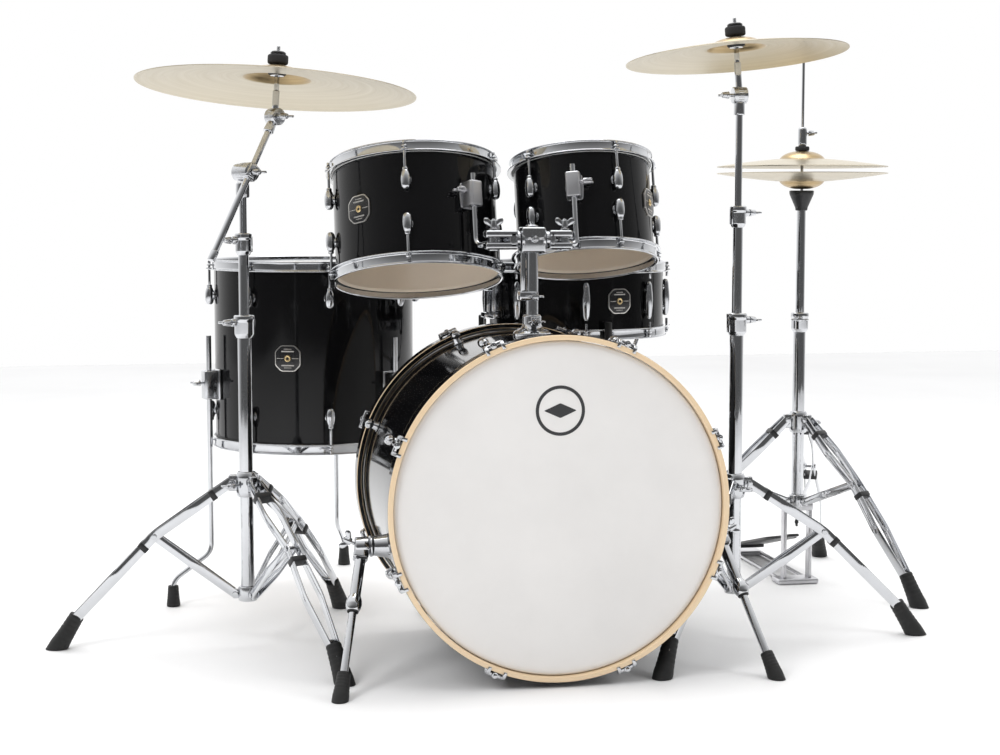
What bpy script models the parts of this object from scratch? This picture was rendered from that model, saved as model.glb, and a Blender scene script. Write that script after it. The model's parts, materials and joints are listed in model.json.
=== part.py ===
"""Acoustic drum kit: bass drum, two rack toms, floor tom, snare drum, hi-hat, ride and crash cymbals.

Metres, +Z up. +Y points from the front of the bass drum to the player, and +X to the hi-hat side.
The layout below is measured from the floor under the middle of the bass drum. At the end the whole kit
hangs on one empty that puts the origin on the floor, under the centre of the kit's bounding box.
"""

import math

import bmesh
import bpy
from mathutils import Matrix, Vector

GAP = 0.0003
JOINT_GAP = 0.0005
SIDES = 8

# Bass drum: 22 by 18 inches, wood hoops, front lifted by the spurs.
BASS_RADIUS = 0.2794
BASS_DEPTH = 0.457
BASS_TILT = math.radians(1.14)
BASS_SEGMENTS = 32
BASS_LUGS = 8
WOOD_HOOP_INNER = 0.0031
WOOD_HOOP_WALL = 0.009
WOOD_HOOP_DEPTH = 0.038
WOOD_HOOP_BEYOND = 0.0115
CLAW_DEPTH = 0.012
CLAW_WIDTH = 0.028

# Rack toms, floor tom and snare drum: radius of the shell and its depth. The rack toms' heights are
# from the top of the bass drum's shell, the others' from the floor.
TOM12_RADIUS = 0.1524
TOM12_DEPTH = 0.2032
TOM12_PLACE = (-0.174, 0.230, 0.1984)
TOM12_BRACKET = 151.3
TOM10_RADIUS = 0.127
TOM10_DEPTH = 0.1778
TOM10_PLACE = (0.133, 0.165, 0.2174)
TOM10_BRACKET = 200.0
TOM_TILT = math.radians(14.7)
TOM_LUGS = 5
FLOOR_TOM_RADIUS = 0.2032
FLOOR_TOM_DEPTH = 0.3556
FLOOR_TOM_PLACE = (-0.332, 0.597, 0.5075)
FLOOR_TOM_LEGS = (-104.0, 17.0, 140.0)
FLOOR_TOM_FOOT = 0.305
FLOOR_TOM_SEGMENTS = 24
SNARE_RADIUS = 0.1778
SNARE_DEPTH = 0.127
SNARE_PLACE = (0.196, 0.485, 0.618)
SNARE_LUGS = 8
SNARE_SEGMENTS = 24
SNARE_FIRST_LUG = 7.3
STRAINER_BEARING = 254.0

# Shells, heads and flanged hoops share these walls and clearances.
SHELL_WALL = 0.006
HEAD_FILM = 0.0009
HEAD_COLLAR = 0.0018
HEAD_SKIRT = 0.009
HOOP_GAP = 0.0024
HOOP_WALL = 0.0023
HOOP_ABOVE = 0.0125
HOOP_BELOW = 0.009
HOOP_EAR = 0.0125
HOOP_LIP = 0.0075
ROD_OUT = 0.0098
ROD_RADIUS = 0.003
LUG_DROP = 0.060
LUG_HEIGHT = 0.034
LUG_WIDTH = 0.014
LUG_DEPTH = 0.018

# Tom holder: its block's height above the bass drum's shell, and its sections.
HOLDER_ABOVE = 0.1694
HOLDER_TUBE = 0.011
HOLDER_SOCKET = 0.016
HOLDER_HALF_WIDTH = 0.022
ARM_RADIUS = 0.0052
ARM_STANDOFF = 0.0225
ARM_BEYOND = 0.012
BRACKET_HEIGHT = 0.052
BRACKET_DEPTH = 0.036
BRACKET_RISE = 0.014

# Spurs: pivot beside the bass drum's shell and below its middle, foot beside the shell on the floor.
SPUR_BESIDE = 0.0386
SPUR_FORWARD = -0.100
SPUR_BELOW = 0.0712
SPUR_FOOT = (0.0946, -0.256)
SPUR_BLOCK = 0.052
SPUR_TUBE = 0.0108
SPUR_BORE = 0.0085
SPUR_LEG = 0.0078
SPUR_TUBE_LENGTH = 0.120

# Stand tubes: outer radii from the floor up, each sliding in the one below.
LOWER_TUBE = 0.0127
LOWER_BORE = 0.0102
MIDDLE_TUBE = 0.0095
MIDDLE_BORE = 0.0078
UPPER_TUBE = 0.0070
TUBE_OVERLAP = 0.15
COLLAR_RADIUS = 0.0175
COLLAR_HEIGHT = 0.042
LEG_WIDTH = 0.020
LEG_DEPTH = 0.013
BRACE_WIDTH = 0.011
BRACE_DEPTH = 0.010
STAND_FOOT = 0.0155

# Stands: place on the floor, bearing of the first leg, foot circle and heights.
RIDE_STAND_PLACE = (-0.498, 0.165)
RIDE_STAND_BEARING = -84.4
RIDE_STAND_FEET = 0.357
CRASH_STAND_PLACE = (0.399, 0.057)
CRASH_STAND_BEARING = -141.5
CRASH_STAND_FEET = 0.357
HIHAT_PLACE = (0.686, 0.500)
HIHAT_BEARING = 150.0
HIHAT_FEET = 0.330
SNARE_STAND_BEARING = 98.0
SNARE_STAND_FEET = 0.200
HUB_HEIGHT = 0.300
LOWER_HUB_HEIGHT = 0.103
LOWER_CLAMP = 0.604
RIDE_UPPER_CLAMP = 0.752
RIDE_TILTER = 0.865
CRASH_UPPER_CLAMP = 0.801
CRASH_TILTER = 1.006

# Boom arm: its two ends from the clamp, and the ride cymbal it carries.
BOOM_RADIUS = 0.0062
BOOM_BESIDE = 0.0215
BOOM_FRONT = (-0.083, -0.062, -0.143)
BOOM_BACK = (0.042, 0.032, 0.090)
RIDE_AXIS = (0.071, 0.082, 0.994)
CRASH_AXIS = (-0.057, 0.076, 0.995)
RIDE_STUD = 0.092
CRASH_STUD = 0.105
STUD_HEIGHT = 0.036

# Cymbals: radius, height of the bow, bell radius and bell height.
CYMBAL_THICK = 0.0014
CYMBAL_HOLE = 0.0065
CYMBAL_SEGMENTS = 24
RIDE_SIZE = (0.254, 0.020, 0.062, 0.022)
CRASH_SIZE = (0.2032, 0.017, 0.054, 0.018)
HIHAT_SIZE = (0.1778, 0.016, 0.047, 0.016)
STUD_RADIUS = 0.0040
SEAT_FELT = 0.0165
SEAT_CLEAR = 0.0042
TOP_FELT = 0.0190
TOP_CLEAR = 0.0030
NUT_RADIUS = 0.0135

# Hi-hat heights.
HIHAT_HUB = 0.349
HIHAT_LOWER_HUB = 0.185
HIHAT_CLAMP = 0.577
HIHAT_SEAT = 0.837
HIHAT_EDGE_LOW = 0.872
HIHAT_EDGE_HIGH = 0.887
HIHAT_ROD_TOP = 1.150
HIHAT_ROD = 0.0035
PEDAL_HEEL_BACK = 0.320
PEDAL_HEEL_HEIGHT = 0.022
PEDAL_TOE_HEIGHT = 0.105
PEDAL_WIDTH = 0.078

# Kick pedal.
KICK_FRONT = 0.002
KICK_POST_BACK = 0.036
KICK_AXLE_HEIGHT = 0.150
KICK_HALF_WIDTH = 0.050
KICK_HEEL_BACK = 0.290
KICK_SHAFT = 0.160
KICK_LEAN = math.radians(40.0)
BEATER_RADIUS = 0.026
BEATER_LENGTH = 0.050

# Snare stand.
SNARE_HUB = 0.210
SNARE_LOWER_HUB = 0.080
SNARE_CLAMP = 0.330
BASKET_CENTRE = 0.440
BASKET_BEARING = 175.0
BASKET_ARM = 0.0055

BLACK_LACQUER = (0.012, 0.012, 0.013, 1.0)
MAPLE = (0.62, 0.42, 0.24, 1.0)
COATED_WHITE = (0.90, 0.90, 0.90, 1.0)
CLEAR_FILM = (0.78, 0.74, 0.66, 1.0)
CHROME = (0.80, 0.80, 0.82, 1.0)
SATIN = (0.52, 0.52, 0.54, 1.0)
BRONZE = (0.78, 0.62, 0.36, 1.0)
BLACK_PAINT = (0.03, 0.03, 0.032, 1.0)
STEEL = (0.55, 0.55, 0.56, 1.0)


def clear_scene():
    for obj in list(bpy.data.objects):
        bpy.data.objects.remove(obj)


def material(name, colour, roughness, metallic):
    made = bpy.data.materials.new(name)
    made.use_nodes = True
    shader = made.node_tree.nodes["Principled BSDF"]
    shader.inputs["Base Color"].default_value = colour
    shader.inputs["Roughness"].default_value = roughness
    shader.inputs["Metallic"].default_value = metallic
    return made


def compass(bearing, height=0.0):
    """A direction from +Y towards +X, in degrees, with a height."""
    turn = math.radians(bearing)
    return Vector((math.sin(turn), math.cos(turn), height))


def frame_at(origin, up, across=(1.0, 0.0, 0.0)):
    """A frame whose Z lies along up, and whose X is as near to across as it can be."""
    z = Vector(up).normalized()
    y = z.cross(Vector(across)).normalized()
    made = Matrix((y.cross(z), y, z)).transposed().to_4x4()
    made.translation = Vector(origin)
    return made


def turned(frame, profile, segments, ring=True):
    """(radius, height) points turned round the frame's Z. Without ring, both ends are on the axis."""
    bm = bmesh.new()
    verts = [bm.verts.new((radius, 0.0, height)) for radius, height in profile]
    edges = [bm.edges.new(pair) for pair in zip(verts, verts[1:])]
    if ring:
        edges.append(bm.edges.new((verts[-1], verts[0])))
    bmesh.ops.spin(
        bm, geom=verts + edges, cent=(0, 0, 0), axis=(0, 0, 1), angle=math.tau, steps=segments, use_merge=True
    )
    bmesh.ops.remove_doubles(bm, verts=bm.verts, dist=1e-6)
    bmesh.ops.recalc_face_normals(bm, faces=bm.faces)
    bm.transform(frame)
    return bm


def block(frame, size):
    bm = bmesh.new()
    bmesh.ops.create_cube(bm, size=1.0, matrix=frame @ Matrix.Diagonal((*size, 1.0)))
    return bm


def rod(start, end, radius, end_radius=None, sides=SIDES):
    start, end = Vector(start), Vector(end)
    along = end - start
    across = (1.0, 0.0, 0.0) if abs(along.normalized().x) < 0.9 else (0.0, 1.0, 0.0)
    bm = bmesh.new()
    bmesh.ops.create_cone(
        bm,
        cap_ends=True,
        segments=sides,
        radius1=radius,
        radius2=radius if end_radius is None else end_radius,
        depth=along.length,
        matrix=frame_at((start + end) / 2, along, across),
    )
    return bm


def bar(start, end, across, width, thick):
    """A flat bar from start to end, its width square to across and its thickness along it."""
    start, end = Vector(start), Vector(end)
    along = end - start
    return block(frame_at((start + end) / 2, along, across), (thick, width, along.length))


def circle(radius, sides=SIDES):
    turns = [math.tau * k / sides for k in range(sides)]
    return [(radius * math.cos(turn), radius * math.sin(turn)) for turn in turns]


def rounded(points, radius, steps=3):
    """The path through points with each inner corner cut to a curve that starts radius before it."""
    points = [Vector(point) for point in points]
    path = [points[0]]
    for before, corner, after in zip(points, points[1:], points[2:]):
        start = corner + (before - corner).normalized() * radius
        end = corner + (after - corner).normalized() * radius
        for k in range(steps + 1):
            t = k / steps
            path.append(start * (1 - t) ** 2 + corner * 2 * t * (1 - t) + end * t**2)
    return [*path, points[-1]]


def swept(points, outline, side):
    """An outline carried along a path that lies in the plane square to side."""
    side = Vector(side).normalized()
    bm = bmesh.new()
    rings = []
    for k, point in enumerate(points):
        along = (points[min(k + 1, len(points) - 1)] - points[max(k - 1, 0)]).normalized()
        normal = along.cross(side).normalized()
        rings.append([bm.verts.new(point + side * u + normal * v) for u, v in outline])
    for low, high in zip(rings, rings[1:]):
        for k in range(len(outline)):
            after = (k + 1) % len(outline)
            bm.faces.new((low[k], low[after], high[after], high[k]))
    bm.faces.new(rings[0])
    bm.faces.new(rings[-1])
    bmesh.ops.recalc_face_normals(bm, faces=bm.faces)
    return bm


def mesh_object(name, bm):
    mesh = bpy.data.meshes.new(name)
    bm.to_mesh(mesh)
    bm.free()
    obj = bpy.data.objects.new(name, mesh)
    bpy.context.scene.collection.objects.link(obj)
    return obj


def combine(obj, operation, pieces):
    """Applies an exact Boolean with all the pieces at once, and removes them."""
    group = bpy.data.collections.new(obj.name + "_" + operation.lower())
    helpers = [mesh_object(f"{obj.name}_helper_{k}", piece) for k, piece in enumerate(pieces)]
    for helper in helpers:
        group.objects.link(helper)
    modifier = obj.modifiers.new(operation.lower(), "BOOLEAN")
    modifier.operand_type = "COLLECTION"
    modifier.collection = group
    modifier.operation = operation
    modifier.solver = "EXACT"
    graph = bpy.context.evaluated_depsgraph_get()
    made = bpy.data.meshes.new_from_object(obj.evaluated_get(graph))
    obj.modifiers.clear()
    obj.data = made
    for helper in helpers:
        bpy.data.objects.remove(helper)
    bpy.data.collections.remove(group)


def part(name, look, pieces, cuts=(), origin=(0.0, 0.0, 0.0)):
    """One closed body with its origin on its joint's axis: the union of the pieces, less the cuts."""
    obj = mesh_object(name, pieces[0])
    if len(pieces) > 1:
        combine(obj, "UNION", pieces[1:])
    if cuts:
        combine(obj, "DIFFERENCE", cuts)
    obj.data.materials.clear()
    obj.data.materials.append(look)
    obj.data.shade_smooth()
    obj.data.set_sharp_from_angle(angle=math.radians(35))
    obj.data.transform(Matrix.Translation(-Vector(origin)))
    obj.location = origin
    obj.parent = KIT
    return obj


def around(frame, bearing, out=0.0, height=0.0):
    """A frame on a drum's or stand's side, its Y pointing outwards and its Z along the axis."""
    turn = Matrix.Rotation(-math.radians(bearing), 4, "Z")
    return frame @ turn @ Matrix.Translation((0.0, out, height))


def shell_body(frame, radius, depth, segments):
    low, high = -depth / 2, depth / 2
    wall = radius - SHELL_WALL
    return turned(frame, [(wall, low), (radius, low), (radius, high), (wall, high)], segments)


def head_body(frame, radius, edge, segments):
    """A film stretched over the bearing edge, with its collar and flesh hoop outside the shell."""
    film = edge + GAP
    inner = radius + GAP
    outer = inner + HEAD_COLLAR
    profile = [
        (0.0, film + HEAD_FILM),
        (outer, film + HEAD_FILM),
        (outer, edge - HEAD_SKIRT),
        (inner, edge - HEAD_SKIRT),
        (inner, film),
        (0.0, film),
    ]
    return turned(frame, profile, segments, ring=False)


def hoop_pieces(frame, radius, edge, segments, bearings, lugs=True, rod_length=0.040):
    """A triple-flanged hoop with its tension rods and, on request, the lugs they screw into."""
    inner = radius + HOOP_GAP
    outer = inner + HOOP_WALL
    profile = [
        (inner, edge - HOOP_BELOW),
        (radius + HOOP_EAR, edge - HOOP_BELOW),
        (radius + HOOP_EAR, edge - HOOP_BELOW + HOOP_WALL),
        (outer, edge - HOOP_BELOW + HOOP_WALL + 0.001),
        (radius + HOOP_LIP, edge + HOOP_ABOVE),
        (inner, edge + HOOP_ABOVE),
    ]
    pieces = [turned(frame, profile, segments)]
    for bearing in bearings:
        top = around(frame, bearing, radius + ROD_OUT, edge + 0.003)
        low = around(frame, bearing, radius + ROD_OUT, edge - HOOP_BELOW - rod_length)
        pieces.append(rod(low.translation, top.translation, ROD_RADIUS, sides=4))
        if lugs:
            out = radius + GAP + LUG_DEPTH / 2
            middle = around(frame, bearing, out, edge - LUG_DROP)
            pieces.append(block(middle, (LUG_WIDTH, LUG_DEPTH, LUG_HEIGHT)))
    return pieces


def flipped(frame):
    return frame @ Matrix.Rotation(math.pi, 4, "Y")


def spread(count, first):
    return [first + 360.0 * k / count for k in range(count)]


def drum(name, frame, radius, depth, segments, bearings, extra=(), cuts=()):
    """Shell, two heads and two flanged hoops. The lower side is the upper one turned over."""
    edge = depth / 2
    part(name + "_shell", LACQUER, [shell_body(frame, radius, depth, segments), *extra], cuts)
    part(name + "_batter_head", HEAD_WHITE, [head_body(frame, radius, edge, segments)])
    part(name + "_top_hoop", CHROMED, hoop_pieces(frame, radius, edge, segments, bearings))
    under = flipped(frame)
    mirrored = [-bearing for bearing in bearings]
    part(name + "_resonant_head", HEAD_CLEAR, [head_body(under, radius, edge, segments)])
    part(name + "_bottom_hoop", CHROMED, hoop_pieces(under, radius, edge, segments, mirrored))


def bass_frame():
    """The bass drum's middle, its Z towards the player. The back hoop's lowest point is on the floor."""
    outer = BASS_RADIUS + WOOD_HOOP_INNER + WOOD_HOOP_WALL
    half = BASS_DEPTH / 2 + WOOD_HOOP_BEYOND
    height = outer * math.cos(BASS_TILT) + half * math.sin(BASS_TILT)
    towards_player = (0.0, math.cos(BASS_TILT), -math.sin(BASS_TILT))
    return frame_at((0.0, 0.0, height), towards_player)


def bass_top():
    """Height of the top of the bass drum's shell."""
    return bass_frame().translation.z + BASS_RADIUS


def wood_hoop_pieces(frame, edge):
    inner = BASS_RADIUS + WOOD_HOOP_INNER
    outer = inner + WOOD_HOOP_WALL
    face = edge + WOOD_HOOP_BEYOND
    back = face - WOOD_HOOP_DEPTH
    pieces = [turned(frame, [(inner, back), (outer, back), (outer, face), (inner, face)], BASS_SEGMENTS)]
    claw_inner = inner + 0.002
    claw_outer = outer + CLAW_DEPTH
    rod_at = outer + CLAW_DEPTH / 2
    lug_top = back - 0.040
    lug_depth = claw_outer - BASS_RADIUS - GAP
    for bearing in spread(BASS_LUGS, 22.5):
        claw = around(frame, bearing, (claw_inner + claw_outer) / 2, face - 0.014)
        pieces.append(block(claw, (CLAW_WIDTH, claw_outer - claw_inner, 0.034)))
        start = around(frame, bearing, rod_at, face - 0.020).translation
        end = around(frame, bearing, rod_at, lug_top - 0.010).translation
        pieces.append(rod(start, end, ROD_RADIUS, sides=4))
        lug = around(frame, bearing, BASS_RADIUS + GAP + lug_depth / 2, lug_top - LUG_HEIGHT / 2)
        pieces.append(block(lug, (LUG_WIDTH, lug_depth, LUG_HEIGHT)))
    return pieces


def bass_drum():
    frame = bass_frame()
    edge = BASS_DEPTH / 2
    front = flipped(frame)
    extra = []
    for side in (-1, 1):
        pivot = spur_pivot(side)
        inner = math.sqrt(BASS_RADIUS**2 - (SPUR_BELOW + SPUR_BLOCK / 2) ** 2) - 0.001
        outer = BASS_RADIUS + SPUR_BESIDE - SPUR_TUBE - 0.002
        reach = frame_at((side * (inner + outer) / 2, pivot.y, pivot.z), (0, 0, 1))
        extra.append(block(reach, (outer - inner, SPUR_BLOCK, SPUR_BLOCK)))
    top = bass_top()
    extra.append(rod((0, 0, top - 0.008), (0, 0, top + 0.020), 0.034, sides=16))
    extra.append(rod((0, 0, top - 0.14), (0, 0, top + 0.038), HOLDER_SOCKET, sides=16))
    bore = rod((0, 0, top - 0.20), (0, 0, top + 0.10), HOLDER_TUBE + JOINT_GAP, sides=16)
    part("bass_shell", LACQUER, [shell_body(frame, BASS_RADIUS, BASS_DEPTH, BASS_SEGMENTS), *extra], [bore])
    part("bass_batter_head", HEAD_WHITE, [head_body(frame, BASS_RADIUS, edge, BASS_SEGMENTS)])
    part("bass_front_head", HEAD_WHITE, [head_body(front, BASS_RADIUS, edge, BASS_SEGMENTS)])
    part("bass_back_hoop", WOOD, wood_hoop_pieces(frame, edge))
    part("bass_front_hoop", WOOD, wood_hoop_pieces(front, edge))
    for side, name in ((-1, "left"), (1, "right")):
        spur(name, side)


def floor_end(start, target, radius):
    """The end of a round foot on the line from start to target, so that its rim just meets the floor."""
    start, target = Vector(start), Vector((*target, 0.0))
    along = (target - start).normalized()
    height = radius * math.sqrt(1 - along.z**2)
    return target - along * (height / -along.z)


def spur_pivot(side):
    return Vector((side * (BASS_RADIUS + SPUR_BESIDE), SPUR_FORWARD, bass_frame().translation.z - SPUR_BELOW))


def spur(name, side):
    pivot = spur_pivot(side)
    foot_radius = 0.0125
    foot = floor_end(pivot, (side * (BASS_RADIUS + SPUR_FOOT[0]), SPUR_FOOT[1]), foot_radius)
    along = (foot - pivot).normalized()
    tube_end = pivot + along * SPUR_TUBE_LENGTH
    axis = Vector((side, 0.0, 0.0))
    face = pivot - axis * (SPUR_TUBE + 0.002 - GAP)
    part(
        name + "_spur_tube",
        CHROMED,
        [
            rod(pivot, tube_end, SPUR_TUBE),
            rod(face, pivot + axis * 0.012, 0.019, sides=12),
            rod(pivot + axis * 0.006, pivot + axis * 0.034, 0.005, sides=6),
            block(frame_at(pivot + axis * 0.036, (0, 0, 1)), (0.006, 0.034, 0.013)),
            rod(tube_end - along * 0.028, tube_end + along * 0.002, SPUR_TUBE + 0.0035, sides=12),
        ],
        [rod(pivot + along * 0.026, tube_end + along * 0.05, SPUR_BORE, sides=12)],
        pivot,
    )
    part(
        name + "_spur_leg",
        CHROMED,
        [
            rod(pivot + along * 0.075, foot - along * 0.01, SPUR_LEG),
            rod(foot - along * 0.042, foot, foot_radius - 0.002, foot_radius, sides=12),
        ],
        origin=tube_end,
    )


def tom_frame(place):
    above_bass = Vector(place) + Vector((0.0, 0.0, bass_top()))
    return frame_at(above_bass, (0.0, math.sin(TOM_TILT), math.cos(TOM_TILT)))


def rack_tom(name, place, radius, depth, bracket, first_lug, segments):
    frame = tom_frame(place)
    out = radius + ARM_STANDOFF
    middle = radius + BRACKET_DEPTH / 2 - 0.002
    plate = block(around(frame, bracket, middle, BRACKET_RISE), (0.030, BRACKET_DEPTH, BRACKET_HEIGHT))
    low = around(frame, bracket, out, -0.2).translation
    high = around(frame, bracket, out, 0.2).translation
    bore = rod(low, high, ARM_RADIUS + JOINT_GAP, sides=12)
    drum(name, frame, radius, depth, segments, spread(TOM_LUGS, first_lug), [plate], [bore])
    return around(frame, bracket, out, BRACKET_RISE)


def tom_arm(name, side, tom_bracket):
    """An L-shaped rod: clamped to the holder's side, then up through the tom's bracket."""
    start = Vector((side * (HOLDER_HALF_WIDTH + GAP), 0.0, bass_top() + HOLDER_ABOVE))
    ratchet = start + Vector((side * 0.026, 0.0, 0.0))
    up = tom_bracket.to_3x3() @ Vector((0.0, 0.0, 1.0))
    on_rod = tom_bracket.translation
    corner = on_rod - up * ((on_rod.z - start.z + 0.012) / up.z)
    top = on_rod + up * (BRACKET_HEIGHT / 2 + ARM_BEYOND)
    path = rounded([ratchet, corner, top], 0.016)
    plane = (corner - ratchet).cross(top - corner)
    part(
        name,
        CHROMED,
        [
            rod(start, start + Vector((side * 0.030, 0.0, 0.0)), 0.0165, sides=12),
            swept(path, circle(ARM_RADIUS), plane),
        ],
        origin=start,
    )


def tom_holder():
    top = bass_top()
    height = top + HOLDER_ABOVE
    block_at = frame_at((0.0, 0.0, height), (0, 0, 1))
    part(
        "tom_holder_post",
        CHROMED,
        [
            rod((0, 0, top - 0.10), (0, 0, height), HOLDER_TUBE, sides=12),
            rod((-0.0165, 0, top + 0.062), (-0.0165, 0, height), 0.005),
            block(frame_at((-0.008, 0, top + 0.070), (0, 0, 1)), (0.034, 0.030, 0.018)),
            block(block_at, (2 * HOLDER_HALF_WIDTH, 0.036, 0.046)),
            rod((0, -0.012, height), (0, -0.034, height), 0.006, sides=6),
        ],
        origin=(0.0, 0.0, top),
    )
    bracket12 = rack_tom("tom12", TOM12_PLACE, TOM12_RADIUS, TOM12_DEPTH, TOM12_BRACKET, 194.0, 24)
    bracket10 = rack_tom("tom10", TOM10_PLACE, TOM10_RADIUS, TOM10_DEPTH, TOM10_BRACKET, 165.5, 24)
    tom_arm("left_tom_arm", -1, bracket12)
    tom_arm("right_tom_arm", 1, bracket10)


def floor_tom():
    frame = frame_at(FLOOR_TOM_PLACE, (0, 0, 1))
    out = FLOOR_TOM_RADIUS + 0.021
    block_height = 0.446 - FLOOR_TOM_PLACE[2]
    extra = []
    cuts = []
    for bearing in FLOOR_TOM_LEGS:
        middle = around(frame, bearing, FLOOR_TOM_RADIUS + 0.016, block_height)
        extra.append(block(middle, (0.030, 0.036, 0.062)))
        low = around(frame, bearing, out, -0.25).translation
        high = around(frame, bearing, out, 0.15).translation
        cuts.append(rod(low, high, ARM_RADIUS + JOINT_GAP, sides=12))
    bearings = spread(8, -3.0)
    drum("floor_tom", frame, FLOOR_TOM_RADIUS, FLOOR_TOM_DEPTH, FLOOR_TOM_SEGMENTS, bearings, extra, cuts)
    centre = Vector((FLOOR_TOM_PLACE[0], FLOOR_TOM_PLACE[1], 0.0))
    for name, bearing in zip(("left", "back", "right"), FLOOR_TOM_LEGS):
        outward = compass(bearing)
        side = compass(bearing + 90.0)
        top = centre + outward * out + Vector((0, 0, 0.545))
        knee = centre + outward * out + Vector((0, 0, 0.105))
        foot = floor_end(knee, (centre + outward * FLOOR_TOM_FOOT).xy, 0.0125)
        slope = (foot - knee).normalized()
        part(
            f"floor_tom_{name}_leg",
            CHROMED,
            [
                swept(rounded([top, knee, foot - slope * 0.01], 0.03), circle(ARM_RADIUS), side),
                rod(foot - slope * 0.045, foot, 0.0095, 0.0125, sides=10),
            ],
            origin=top,
        )


def snare_drum():
    frame = frame_at(SNARE_PLACE, (0, 0, 1))
    edge = SNARE_DEPTH / 2
    bearings = spread(SNARE_LUGS, SNARE_FIRST_LUG)
    lug_half = edge - 0.026
    extra = []
    for bearing in bearings:
        low = around(frame, bearing, SNARE_RADIUS + 0.005, -lug_half).translation
        high = around(frame, bearing, SNARE_RADIUS + 0.005, lug_half).translation
        extra.append(rod(low, high, 0.0085, sides=6))
    strainer = around(frame, STRAINER_BEARING, SNARE_RADIUS + 0.010, -0.004)
    extra.append(block(strainer, (0.030, 0.026, 0.070)))
    part("snare_shell", LACQUER, [shell_body(frame, SNARE_RADIUS, SNARE_DEPTH, SNARE_SEGMENTS), *extra])
    part("snare_batter_head", HEAD_WHITE, [head_body(frame, SNARE_RADIUS, edge, SNARE_SEGMENTS)])
    under = flipped(frame)
    part("snare_resonant_head", HEAD_CLEAR, [head_body(under, SNARE_RADIUS, edge, SNARE_SEGMENTS)])
    rods = 0.026 - HOOP_BELOW - JOINT_GAP
    mirrored = [-bearing for bearing in bearings]
    top = hoop_pieces(frame, SNARE_RADIUS, edge, SNARE_SEGMENTS, bearings, False, rods)
    bottom = hoop_pieces(under, SNARE_RADIUS, edge, SNARE_SEGMENTS, mirrored, False, rods)
    part("snare_top_hoop", CHROMED, top)
    part("snare_bottom_hoop", CHROMED, bottom)
    lever_out = SNARE_RADIUS + 0.023 + JOINT_GAP
    pivot = around(frame, STRAINER_BEARING, lever_out, 0.020)
    arm = around(frame, STRAINER_BEARING, lever_out + 0.004, -0.0065)
    grip = around(frame, STRAINER_BEARING, lever_out + 0.008, -0.030)
    part(
        "snare_strainer_lever",
        CHROMED,
        [block(arm, (0.016, 0.008, 0.053)), block(grip, (0.022, 0.012, 0.012))],
        origin=pivot.translation,
    )
    strands = -edge - GAP - HEAD_FILM - 0.0018
    along = around(frame, STRAINER_BEARING, 0.0, strands)
    part("snare_wires", STEEL_WIRE, [block(along, (0.042, 2 * SNARE_RADIUS - 0.06, 0.002))])


def tripod_pieces(place, bearing, feet, hub, lower_hub, bottom, top, radius=LOWER_TUBE):
    """Tube, two hubs and three double-braced legs with rubber feet. The bore is cut afterwards."""
    base = Vector((*place, 0.0))
    up = Vector((0, 0, 1))
    pieces = [
        rod(base + up * bottom, base + up * top, radius, sides=10),
        rod(base + up * (hub - 0.024), base + up * (hub + 0.020), radius + 0.010, sides=10),
        rod(base + up * (lower_hub - 0.012), base + up * (lower_hub + 0.014), radius + 0.006, sides=10),
        rod(base + up * (top - COLLAR_HEIGHT + 0.004), base + up * (top + 0.004), COLLAR_RADIUS, sides=10),
    ]
    for k in range(3):
        outward = compass(bearing + 120.0 * k)
        across = compass(bearing + 120.0 * k + 90.0)
        start = base + outward * (radius + 0.006) + up * hub
        foot = floor_end(start, (base + outward * feet).xy, STAND_FOOT)
        slope = (foot - start).normalized()
        ankle = foot - slope * 0.030
        knee = start.lerp(foot, 0.46)
        root = base + outward * (radius + 0.003) + up * lower_hub
        pieces.append(bar(start, ankle, across, LEG_DEPTH, LEG_WIDTH))
        pieces.append(bar(root, knee, across, BRACE_DEPTH, BRACE_WIDTH))
        pin = across * (LEG_WIDTH / 2 + 0.003)
        pieces.append(rod(knee - pin, knee + pin, 0.0035, sides=4))
        pieces.append(rod(foot - slope * 0.048, foot, 0.0125, STAND_FOOT, sides=8))
    return pieces


def wing_nut(centre, outward, length=0.030):
    """A screw and its wings, standing out of a clamp."""
    centre, outward = Vector(centre), Vector(outward).normalized()
    wings = frame_at(centre + outward * (length - 0.003), (0, 0, 1), outward)
    return [rod(centre, centre + outward * length, 0.0045, sides=6), block(wings, (0.006, 0.032, 0.013))]


def tube_bore(place, low, high, radius):
    return rod((*place, low), (*place, high), radius, sides=10)


def height_tube(name, place, low, high, radius, nut, bore=None):
    """A sliding tube with the clamp for the next one at its top."""
    pieces = [
        rod((*place, low), (*place, high), radius, sides=10),
        rod((*place, high - 0.036), (*place, high + 0.004), radius + 0.0055, sides=10),
        *wing_nut((*place, high - 0.016), nut),
    ]
    cuts = [] if bore is None else [tube_bore(place, low - 0.02, high + 0.02, bore)]
    part(name, CHROMED, pieces, cuts, (*place, low))


def cymbal_pieces(frame, size, under=False):
    """Bow and bell with a round hole. The frame's origin is the hole's middle; the bell rises along +Z."""
    radius, bow, bell_radius, bell = size
    top = [
        (CYMBAL_HOLE, 0.0),
        (0.65 * bell_radius, -0.25 * bell),
        (bell_radius, -bell),
        (radius, -bell - bow),
    ]
    low = [(r, z - CYMBAL_THICK) for r, z in reversed(top)]
    return [turned(flipped(frame) if under else frame, top + low, CYMBAL_SEGMENTS)]


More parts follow.
